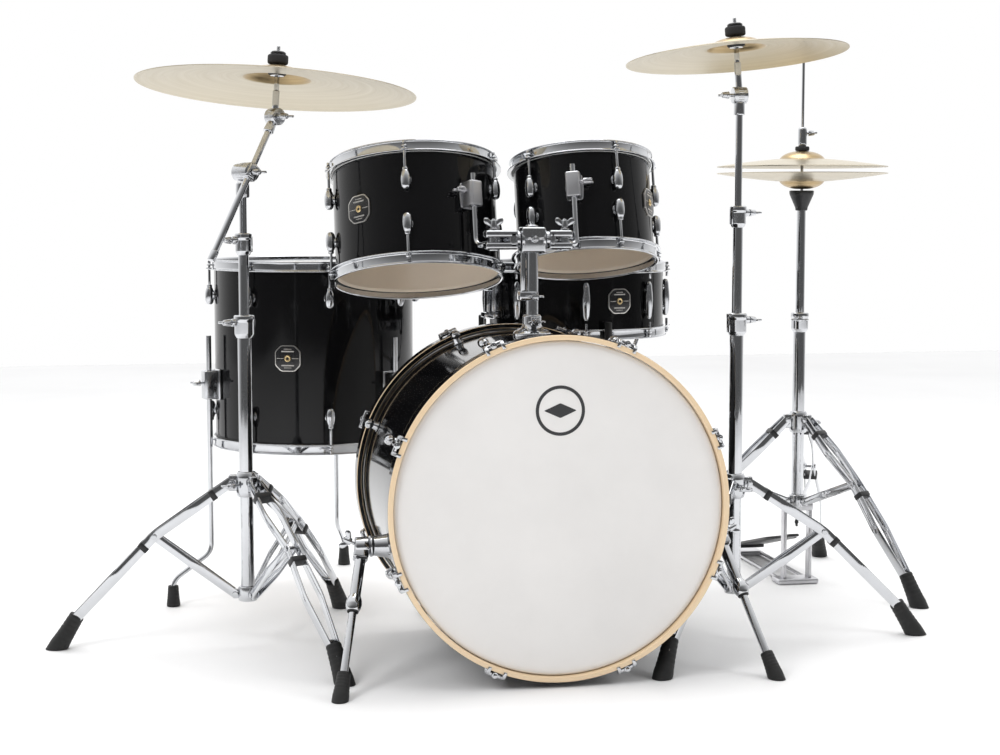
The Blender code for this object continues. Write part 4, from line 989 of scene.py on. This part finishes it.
def wires(base):
    """Twenty coiled strands between two end plates, under the lower head."""
    low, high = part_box("snare_wires")
    height = (low.z + high.z) / 2 - base.translation.z
    length = 2 * HIHAT_RADIUS - 0.06
    strands = []
    for k in range(SNARE_WIRES):
        place = shifted(around(base, STRAINER_BEARING, 0.0, height),
            (k - (SNARE_WIRES - 1) / 2) * WIRE_PITCH)
        strands.append(pin(point_on(place, y=-length / 2 + 0.012),
                point_on(place, y=length / 2 - 0.012), 0.0008, edge=0.0002, segments=10))
    for side in (-1, 1):
        end = shifted(around(base, STRAINER_BEARING, 0.0, height), y=side * (length / 2 - 0.007))
        strands.append(slab(end, (0.042, 0.014, 0.0016), 0.0005, 2))
    stand_in("snare_strands", strands, STEEL, "snare_wires")


def clamp_collar(x, y, top, radius, bore, nut, height=0.04, wide=0.0055):
    """A split height clamp with its ears, screw and wing nut."""
    outer = radius + wide
    at = upright(x, y)
    outline = [(bore, top - height), (radius + 0.0015, top - height), (outer, top - height + 0.007),
        (outer, top - 0.012), (outer + 0.0012, top - 0.009), (outer + 0.0012, top - 0.002),
        (outer - 0.001, top), (bore, top)]
    nut = Vector(nut).normalized()
    middle = Vector((x, y, top - height / 2))
    seat = middle + nut * (outer - 0.002) + UP * height * 0.18
    pieces = [bored(at, outline, 0.0012, 56), pin(seat, seat + nut * 0.01, 0.0078, 0.0068, edge=0.0015)]
    slit = frame_at(middle - nut * (outer - 0.0008), UP, nut)
    pieces.append(slab(slit, (0.005, 0.009, height * 0.7), 0.001, 2))
    pieces += wing_nut(seat, nut, 0.024, 0.038)
    return pieces


def leg_straps(stations, across, width, thick):
    """Two flat bars side by side. Each station is a point on the leg and half the bars' spread there."""
    pieces = []
    section = [(-thick / 2, -width / 2), (thick / 2, -width / 2), (thick / 2, width / 2),
        (-thick / 2, width / 2)]
    for side in (-1, 1):
        line = [point + across * (side * spread) for point, spread in stations]
        path = rounded_path(line, 0.012, 5)
        pieces.append(carried(path, soften(section, 0.0007, 2), across))
    return pieces


def tripod(name, place, bearing, feet, hub, lower_hub, top, node, nut, radius=LOWER_TUBE):
    """Centre tube, two castings, three double-braced legs that bow apart, and their rubber boots."""
    x, y = place
    base = Vector((x, y, 0.0))
    at = frame_at(base, UP)
    low = lower_hub - 0.007
    tube = [sleeve((x, y, low - 0.01), (x, y, top), radius, radius - 0.0022, segments=48)]
    tube += clamp_collar(x, y, top + 0.004, radius, radius - 0.002, nut, 0.042, 0.0052)
    hub_line = [(radius - 0.001, hub - 0.024), (radius + 0.0045, hub - 0.024),
        (radius + 0.007, hub - 0.016), (radius + 0.007, hub + 0.014), (radius + 0.0035, hub + 0.022),
        (radius - 0.001, hub + 0.022)]
    low_line = [(radius - 0.001, low - 0.013), (radius + 0.0045, low - 0.013), (radius + 0.0055, low),
                (radius + 0.0045, low + 0.014), (radius - 0.001, low + 0.014)]
    castings = [bored(at, hub_line, 0.003, 56, 4), bored(at, low_line, 0.003, 56, 4)]
    free = compass(bearing - 42.0)
    castings += wing_nut(base + UP * (hub - 0.002) + free * (radius + 0.004), free, 0.026, 0.036)
    straps, rivets, bands = [], [], []
    small = feet < 0.25
    wide = 0.0145 if small else 0.018
    bow = 0.011 if small else 0.0165
    for k in range(3):
        outward = compass(bearing + 120.0 * k)
        across = compass(bearing + 120.0 * k + 90.0)
        start = base + outward * (radius + 0.014) + UP * (hub + 0.004)
        floor_point = base + outward * feet
        ankle = floor_point - outward * 0.03 + UP * 0.04
        knee = start.lerp(ankle, 0.47) + UP * (0.012 if small else 0.026)
        root = base + outward * (radius + 0.01) + UP * low
        upper, lower = start.lerp(knee, 0.5), knee.lerp(ankle, 0.45)
        straps += leg_straps([(start, 0.0085), (upper, bow), (knee, 0.01), (lower, bow), (ankle, 0.006)],
            across, wide, 0.0026)
        straps += leg_straps([(root, 0.0055), (root.lerp(knee, 0.5), bow * 0.7), (knee, 0.0068)], across,
            wide * 0.85, 0.0024)
        castings.append(slab(frame_at(base + outward * (radius + 0.009) + UP * (hub + 0.001), UP, outward),
                (0.022, 0.0135, 0.03), 0.003, 4))
        castings.append(slab(frame_at(base + outward * (radius + 0.006) + UP * low, UP, outward),
                (0.018, 0.008, 0.018), 0.002))
        for spot, half in ((start, 0.0118), (knee, 0.0138), (root, 0.0085),
            (ankle - (ankle - knee).normalized() * 0.035, 0.009)):
            rivets.append(pin(spot - across * half, spot + across * half, 0.0034, segments=20))
            for way in (-1, 1):
                rivets.append(pin(spot + across * (way * (half - 0.0016)),
                        spot + across * (way * (half + 0.0006)), 0.0052, edge=0.0009, segments=20))
        slope = (ankle - knee).normalized()
        for spot, along, half in ((start.lerp(knee, 0.24), (knee - start).normalized(), 0.015),
                                  (knee + slope * 0.028, slope, 0.0145)):
            bands.append(slab(frame_at(spot, along, across), (half * 2, wide + 0.0016, 0.011), 0.0015, 2))
        toe = floor_point - outward * 0.01
        heading = (toe - (ankle - slope * 0.02)).normalized()
        boots = boot(toe, heading, 0.062 if small else 0.072, 0.0115 if small else 0.013,
            0.015 if small else 0.0175)
        make(f"{name}_foot_{k + 1}", [boots], RUBBER, node)
    stand_in(f"{name}_tube", tube, CHROME, node)
    make(f"{name}_castings", castings, CAST, node)
    make(f"{name}_legs", straps, CHROME, node)
    make(f"{name}_rivets", rivets, CAST, node)
    make(f"{name}_bands", bands, NYLON, node)


def snare_stand():
    hinge = pivot("snare_basket_tilt")
    x, y = hinge.x, hinge.y
    tripod("snare_stand", (x, y), 98.0, 0.2, 0.21, 0.08, 0.33, "snare_stand_base", compass(30.0))
    low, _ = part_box("snare_stand_tube")
    stand_in("snare_stand_post", [pin((x, y, low.z), hinge - UP * 0.02, MIDDLE_TUBE),
            pin(hinge - UP * 0.042, hinge - UP * 0.0168, 0.015, edge=0.003)], CHROME, "snare_stand_tube")
    node = "snare_basket"
    side_x = Vector((1, 0, 0))
    knuckle = [pin(hinge - side_x * 0.022, hinge + side_x * 0.022, 0.0153, edge=0.002, segments=48),
               pin(hinge, hinge + UP * 0.03, 0.0165, edge=0.003),
               *wing_nut(hinge + side_x * 0.02, side_x, 0.02, 0.034)]
    make("basket_knuckle", knuckle, CAST, node)
    base = drum_frame("snare_batter_head", "snare_resonant_head")
    outer = reach_of("snare_bottom_hoop", base)[0] + 0.0002
    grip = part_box("snare_bottom_hoop")[0].z
    arms, tips = [], []
    for k in range(3):
        outward = compass(175.0 + 120.0 * k)
        across = compass(175.0 + 120.0 * k + 90.0)
        inner = hinge + UP * 0.022 + outward * 0.008
        elbow = hinge + UP * 0.04 + outward * (outer - 0.02)
        wrist = Vector((x, y, grip - 0.014)) + outward * (outer + 0.009)
        tip = Vector((x, y, grip + 0.036)) + outward * (outer + 0.009)
        arms.append(carried(rounded_path([inner, elbow, wrist, tip], 0.012, 6), circle(0.0048, 20), across))
        shelf = Vector((x, y, grip - 0.0055))
        tips.append(pin(shelf + outward * (outer + 0.012), shelf + outward * (outer - 0.014), 0.005,
                edge=0.0015))
        tips.append(pin(wrist + UP * 0.004, tip + UP * 0.001, 0.0072, edge=0.003))
    stand_in("basket_arms", arms, CHROME, node)
    make("basket_grips", tips, RUBBER, node)


# Cymbals and their stands.


def cymbal(name, hole, up, radius, bell_radius, bell, bow, node, cone=0.25):
    """A turned cymbal with a smooth bell. hole is the middle of its hole and up the way its bell rises."""
    base = frame_at(hole, up)
    thick = 0.0013
    top = []
    for k in range(13):
        t = k / 12
        r = 0.0065 + (bell_radius - 0.0065) * t
        top.append((r, -bell * (1 - math.sqrt(max(0.0, 1 - 0.9 * t**2))) / (1 - math.sqrt(0.1))))
    bow_steps = 22
    for k in range(1, bow_steps + 1):
        t = k / bow_steps
        r = bell_radius + (radius - bell_radius) * t
        top.append((r, -bell - bow * (cone * t + (1 - cone) * t**2)))
    low = [(r - 0.0004 * (k == 0), z - thick) for k, (r, z) in enumerate(reversed(top))]
    obj = stand_in(name, [lathe(base, top + low, 192)], BRONZE, node, angle=50)
    wrap_uv(obj, base)
    obj.data.materials.append(BELL_BRONZE)
    back = base.inverted()
    for polygon in obj.data.polygons:
        if (back @ polygon.center).xy.length < bell_radius * 1.02:
            polygon.material_index = 1
    return obj


def stud(name, hole, up, node, sleeve_end):
    """Seat felt, top felt, nut and threaded tip of a cymbal stand's stud, above its sleeve."""
    base = frame_at(hole, up)

    def at(z):
        return point_on(base, z=z)

    metal = [pin(at(-0.022), at(0.036), 0.003, segments=20), pin(at(-0.048), at(-0.0168), 0.0048,
            edge=0.0008), pin(at(sleeve_end), at(-0.045), 0.0063, edge=0.0012),
        pin(at(-0.0185), at(-0.0166), 0.0125, edge=0.0008)]
    for k in range(5):
        z = 0.0268 + k * 0.0018
        metal.append(pin(at(z), at(z + 0.001), 0.0036, edge=0.0004, segments=20))
    make(name + "_stud", metal, CHROME, node)
    make(name + "_felts", [pin(at(-0.0166), at(-0.0055), 0.0165, edge=0.003),
            pin(at(0.0032), at(0.02), 0.0188, edge=0.004)], FELT, node)
    nut = [(0.0, 0.02), (0.0126, 0.02), (0.0135, 0.0212), (0.0132, 0.0244), (0.0112, 0.0262),
        (0.0, 0.0264)]
    topper = [turned(base, nut, 0.001, 48)]
    for k in range(12):
        turn = shifted(Matrix.Rotation(math.tau * k / 12, 4, "Z"), 0.0132, 0, 0.0226)
        topper.append(slab(base @ turn, (0.0014, 0.0026, 0.0036), 0.0005, 2))
    make(name + "_topper", topper, NYLON, node)


def knuckle(name, centre, axis, radius, half, node, finish=make):
    """A toothed tilter joint with its wing nut."""
    centre, axis = Vector(centre), Vector(axis).normalized()
    across = (0.0, 0.0, 1.0)
    pieces = [pin(centre - axis * half, centre + axis * half, radius, edge=0.0018, segments=48)]
    base = frame_at(centre, axis, across)
    for k in range(20):
        turn = shifted(base @ Matrix.Rotation(math.tau * k / 20, 4, "Z"), radius - 0.001)
        pieces.append(slab(turn, (0.003, 0.0016, half * 0.8), 0.0004, 1))
    pieces += wing_nut(centre + axis * half * 0.8, axis, 0.022, 0.032)
    return finish(name, pieces, CAST, node)


def ride_stand():
    x, y = tube_place("ride_stand_upper_tube")
    nut = compass(250.0)
    tripod("ride_stand", (x, y), -84.4, 0.357, 0.3, 0.103, 0.604, "ride_stand_base", nut)
    middle_tube("ride_stand_middle_tube", x, y, nut)
    clamp = pivot("ride_boom_tilt")
    axis = axis_of("ride_boom_tilt")
    low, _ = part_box("ride_stand_upper_tube")
    upper = [pin((x, y, low.z), clamp - UP * 0.03, UPPER_TUBE - 0.0002),
             pin(clamp - UP * 0.046, clamp - UP * 0.0185, 0.0125, edge=0.003)]
    stand_in("ride_upper_rod", upper, CHROME, "ride_stand_upper_tube")
    tilt = pivot("ride_tilt")
    offset = axis * 0.0215
    along = (tilt - clamp - offset).normalized()
    back = tilt - along * 0.0125
    front = clamp + offset - along * 0.178
    arm = [pin(front, back, 0.006), pin(back - along * 0.02, back, 0.01, 0.0085, edge=0.002)]
    stand_in("boom_rod", arm, CHROME, "ride_boom_arm")
    make("boom_end_cap", [pin(front - along * 0.004, front + along * 0.016, 0.007, edge=0.0015)], CAST,
        "ride_boom_arm")
    knuckle("boom_clamp", clamp + axis * 0.008, axis, 0.0168, 0.02, "ride_boom_arm")
    block = frame_at(clamp + offset, along, axis)
    make("boom_clamp_block", [slab(block, (0.02, 0.024, 0.03), 0.004, 4)], CAST, "ride_boom_arm")
    hole = pivot("ride_swing")
    up = stud_direction("ride_cymbal")
    knuckle("ride_tilter_knuckle", tilt, axis, 0.0155, 0.0125, "ride_tilter", finish=stand_in)
    stud("ride", hole, up, "ride_tilter", -(hole - tilt).length)
    cymbal("ride_plate", hole, up, RIDE_RADIUS, 0.062, 0.022, 0.02, "ride_cymbal")


def stud_direction(node):
    """The way a cymbal's bell rises: the normal of its rim."""
    points = corners_of(node)
    middle = points.mean(axis=0)
    _, _, axes = np.linalg.svd(points - middle)
    normal = Vector(axes[2])
    return normal if normal.z > 0 else -normal


def tube_place(node):
    """Where a stand's centre line meets the floor plan."""
    points = corners_of(node)
    low = points[points[:, 2] < points[:, 2].min() + 0.001]
    return float(low[:, 0].mean()), float(low[:, 1].mean())


def middle_tube(node, x, y, nut):
    low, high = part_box(node)
    top = high.z
    pieces = [sleeve((x, y, low.z), (x, y, top - 0.004), MIDDLE_TUBE - 0.0001, 0.008, segments=40)]
    pieces += clamp_collar(x, y, top, MIDDLE_TUBE, 0.008, nut, 0.04, 0.0052)
    stand_in(node + "_chromed", pieces, CHROME, node)


def crash_stand():
    x, y = tube_place("crash_stand_upper_tube")
    nut = compass(75.0)
    tripod("crash_stand", (x, y), -141.5, 0.357, 0.287, 0.103, 0.604, "crash_stand_base", nut)
    middle_tube("crash_stand_middle_tube", x, y, nut)
    tilt = pivot("crash_tilt")
    low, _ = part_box("crash_stand_upper_tube")
    upper = [pin((x, y, low.z), tilt - UP * 0.012, UPPER_TUBE - 0.0002),
        pin(tilt - UP * 0.036, tilt - UP * 0.0125, 0.0102, edge=0.002)]
    stand_in("crash_upper_rod", upper, CHROME, "crash_stand_upper_tube")
    hole = pivot("crash_swing")
    up = stud_direction("crash_cymbal")
    knuckle("crash_tilter_knuckle", tilt, (-1, 0, 0), 0.015, 0.013, "crash_tilter", finish=stand_in)
    stud("crash", hole, up, "crash_tilter", -(hole - tilt).length)
    cymbal("crash_plate", hole, up, CRASH_RADIUS, 0.054, 0.018, 0.017, "crash_cymbal")


def hihat():
    x, y = tube_place("hihat_upper_tube")
    nut = compass(200.0)
    tripod("hihat_stand", (x, y), 150.0, 0.33, 0.349, 0.185, 0.577, "hihat_stand_base", nut)
    frame_pieces = []
    for side in (-1, 1):
        post = upright(x + side * 0.028, y, 0.085)
        frame_pieces.append(slab(post, (0.007, 0.021, 0.166), 0.002, 3))
        frame_pieces.append(pin((x + side * 0.03, y, 0.006), (x + side * 0.03, y + 0.32, 0.006), 0.0038))
    frame_pieces.append(slab(upright(x, y, 0.166), (0.064, 0.032, 0.016), 0.004, 4))
    frame_pieces.append(slab(upright(x, y + 0.004, 0.006), (0.09, 0.048, 0.0115), 0.004, 4))
    frame_pieces.append(slab(upright(x, y + 0.332, 0.005), (0.07, 0.046, 0.0095), 0.003, 4))
    make("hihat_yoke", frame_pieces, SATIN, "hihat_stand_base")
    low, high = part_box("hihat_upper_tube")
    seat = high.z
    tube = [sleeve((x, y, low.z), (x, y, seat - 0.036), MIDDLE_TUBE - 0.0001, 0.0052)]
    stand_in("hihat_tube_chromed", tube, CHROME, "hihat_upper_tube")
    cup = [(0.0052, seat - 0.042), (0.0125, seat - 0.042), (0.013, seat - 0.036), (0.0252, seat - 0.008),
           (0.0258, seat - 0.001), (0.0235, seat), (0.0052, seat)]
    make("hihat_seat_cup", [bored(upright(x, y), cup, 0.002, 48)], NYLON, "hihat_upper_tube")
    clutch = pivot_height("hihat_top_cymbal")
    low_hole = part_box("hihat_bottom_cymbal")[0].z
    cymbal("hihat_top_plate", Vector((x, y, clutch)), UP, HIHAT_RADIUS, 0.047, 0.016, 0.016,
        "hihat_top_cymbal", 0.6)
    cymbal("hihat_bottom_plate", Vector((x, y, low_hole)), -UP, HIHAT_RADIUS, 0.047, 0.016, 0.016,
        "hihat_bottom_cymbal", 0.6)
    rod_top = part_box("hihat_pull_rod")[1].z
    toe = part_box("hihat_pull_rod")[0].z
    at = upright(x, y)
    rods = [pin((x, y, 0.15), (x, y, rod_top), 0.0032, segments=24),
        turned(at, [(0.0, clutch + 0.01), (0.0082, clutch + 0.01), (0.0094, clutch + 0.016),
                (0.0094, clutch + 0.046), (0.0072, clutch + 0.05), (0.0, clutch + 0.05)], 0.0016, 40),
        *wing_nut((x, y, clutch + 0.038), compass(95.0), 0.024, 0.03)]
    stand_in("hihat_rod_chromed", rods, CHROME, "hihat_pull_rod")
    felts = [pin((x, y, clutch + 0.0004), (x, y, clutch + 0.01), 0.0148, edge=0.003),
             pin((x, y, clutch - 0.0122), (x, y, clutch - 0.0032), 0.0096, edge=0.002)]
    make("hihat_felts", felts, FELT, "hihat_pull_rod")
    links = []
    for k in range(7):
        z = toe + 0.003 + k * 0.0062
        links.append(slab(frame_at((x, y, z), UP, compass(90.0 * (k % 2))), (0.0085, 0.004, 0.0075),
                0.0016, 2))
    links.append(pin((x, y, toe + 0.044), (x, y, 0.172), 0.005))
    make("hihat_chain", links, BLACK_PAINT, "hihat_pull_rod")
    footboard("hihat_board", "hihat_footboard", pivot("hihat_pedal_press"), 0.078)


def pivot_height(node):
    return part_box(node)[1].z


def footboard(name, node, hinge, width):
    """A tapered casting with grip ribs, a raised border and a hinge barrel."""
    low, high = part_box(node)
    toe = Vector((hinge.x, low.y, high.z - 0.006))
    rise = (toe - hinge).normalized()
    length = (toe - hinge).length
    normal = Vector((1, 0, 0)).cross(rise).normalized()
    normal = normal if normal.z > 0 else -normal
    base = columns(Vector((1, 0, 0)), rise, Vector((1, 0, 0)).cross(rise), hinge + normal * 0.004)
    half = width / 2
    sole = [(-half, 0.004), (half, 0.004), (half, 0.045), (half * 0.94, length - 0.085),
        (half * 0.36, length - 0.05), (half * 0.33, length - 0.002), (-half * 0.33, length - 0.002),
        (-half * 0.36, length - 0.05), (-half * 0.94, length - 0.085), (-half, 0.045)]
    pieces = [plate(base, soften(sole, 0.012, 5), 0.0055, 0.0018, 3)]
    up = 1 if (base.to_3x3() @ UP).z > 0 else -1
    for k in range(11):
        rib = shifted(base, 0, 0.055 + k * 0.0105, up * 0.003)
        pieces.append(slab(rib, (width * 0.74, 0.0032, 0.0016), 0.0006, 2))
    pieces.append(pin(hinge - Vector((half - 0.0005, 0, 0)), hinge + Vector((half - 0.0005, 0, 0)), 0.0054))
    stand_in(name, pieces, BLACK_PAINT, node)


def kick_pedal():
    axle = pivot("kick_beater_swing")
    hinge = pivot("kick_pedal_press")
    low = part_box("kick_pedal_frame")[0]
    x = axle.x
    pieces = [slab(upright(x, low.y + 0.028, 0.009), (0.114, 0.055, 0.0175), 0.004, 4),
              slab(upright(x, hinge.y + 0.014, 0.005), (0.084, 0.06, 0.0095), 0.003, 4)]
    for side in (-1, 1):
        pieces.append(slab(upright(x + side * 0.053, axle.y, 0.089), (0.0078, 0.024, 0.164), 0.003, 4))
        pieces.append(pin((x + side * 0.034, low.y + 0.04, 0.006), (x + side * 0.034, hinge.y, 0.006),
                0.0038))
        pieces.append(pin((x + side * 0.05, axle.y, axle.z), (x + side * 0.0568, axle.y, axle.z), 0.01,
                edge=0.0012))
    stand_in("kick_frame_cast", pieces, SATIN, "kick_pedal_frame")
    lean = Vector((0.0, math.sin(math.radians(40)), math.cos(math.radians(40))))
    ahead = Vector((0.0, -math.cos(math.radians(40)), math.sin(math.radians(40))))
    side_x = Vector((1, 0, 0))
    head_at = axle + lean * 0.16
    shaft = [pin(axle - side_x * 0.0482, axle + side_x * 0.0482, 0.0062),
        pin(axle, head_at + lean * 0.018, 0.0033), pin(axle - side_x * 0.01, axle + side_x * 0.01, 0.0236,
            edge=0.002, segments=48)]
    stand_in("beater_shaft", shaft, CHROME, "kick_beater")
    make("beater_felt", [pin(head_at - ahead * 0.025, head_at + ahead * 0.025, 0.026, edge=0.005,
                segments=48)], WHITE_FELT, "kick_beater")
    footboard("kick_board", "kick_footboard", hinge, 0.074)


# The studio.


def studio(centre):
    floor_bm = bmesh.new()
    bmesh.ops.create_grid(floor_bm, x_segments=1, y_segments=1, size=6.0,
        matrix=Matrix.Translation((0, 0, -0.0005)))
    mesh = bpy.data.meshes.new("studio_floor")
    floor_bm.to_mesh(mesh)
    floor_bm.free()
    mesh.materials.append(handled("pale_floor", (0.93, 0.93, 0.935), 0.55, smear=0.05, scale=0.6,
            grain=0.00001))
    floor = bpy.data.objects.new("studio_floor", mesh)
    bpy.context.scene.collection.objects.link(floor)
    bpy.context.scene.view_settings.view_transform = "Standard"
    world = bpy.data.worlds.new("studio_air")
    world.use_nodes = True
    bpy.context.scene.world = world
    tree = world.node_tree
    air = tree.nodes["Background"]
    air.inputs["Color"].default_value = (1.0, 1.0, 1.0, 1.0)
    facing = add_node(tree, "TexCoord", {})
    slope = add_node(tree, "VectorMath", {"operation": "DOT_PRODUCT", 1: (0.0, 0.75, 0.85)})
    tree.links.new(facing.outputs["Generated"], slope.inputs[0])
    limits = {"From Min": -0.45, "From Max": 0.95, "To Min": 0.12, "To Max": 1.25}
    shade = add_node(tree, "MapRange", {"interpolation_type": "SMOOTHSTEP", **limits})
    tree.links.new(slope.outputs["Value"], shade.inputs["Value"])
    path = add_node(tree, "LightPath", {})
    seen = add_node(tree, "Mix", {"data_type": "FLOAT", "B": 1.0})
    tree.links.new(path.outputs["Is Camera Ray"], seen.inputs["Factor"])
    tree.links.new(shade.outputs["Result"], seen.inputs["A"])
    tree.links.new(seen.outputs["Result"], air.inputs["Strength"])
    for name, place, size, power in (
        ("key_panel", (-2.6, -2.4, 2.9), (1.1, 2.2), 70.0),
        ("fill_panel", (3.0, -2.2, 2.0), (0.7, 2.4), 30.0),
        ("top_panel", (0.0, 0.6, 3.6), (2.8, 2.0), 62.0),
    ):
        data = bpy.data.lights.new(name, "AREA")
        data.shape = "RECTANGLE"
        data.size, data.size_y = size
        data.energy = power
        lamp = bpy.data.objects.new(name, data)
        lamp.location = Vector(place)
        lamp.visible_glossy = name == "top_panel"
        lamp.rotation_euler = (centre - lamp.location).to_track_quat("-Z", "Y").to_euler()
        bpy.context.scene.collection.objects.link(lamp)


def camera(bass_middle):
    data = bpy.data.cameras.new("view")
    data.lens = CAMERA_LENS
    data.sensor_width = 36.0
    view = bpy.data.objects.new("view", data)
    aside, behind = CAMERA_FROM_BASS
    view.location = Vector((bass_middle.x + aside, bass_middle.y + behind, CAMERA_HEIGHT))
    heading, dip = math.radians(CAMERA_HEADING), math.radians(CAMERA_DIP)
    look = Vector((math.sin(heading) * math.cos(dip), math.cos(heading) * math.cos(dip), -math.sin(dip)))
    view.rotation_euler = look.to_track_quat("-Z", "Y").to_euler()
    bpy.context.scene.collection.objects.link(view)
    bpy.context.scene.camera = view


BASS_RADIUS = drum_measures("bass_batter_head", "bass_front_head")[1]
bass_drum()
tom_holder()
rack_toms()
floor_tom()
snare_drum()
snare_stand()
ride_stand()
crash_stand()
hihat()
kick_pedal()
studio(Vector((0.0, 0.0, 0.5)))
camera(box_middle("bass_shell"))
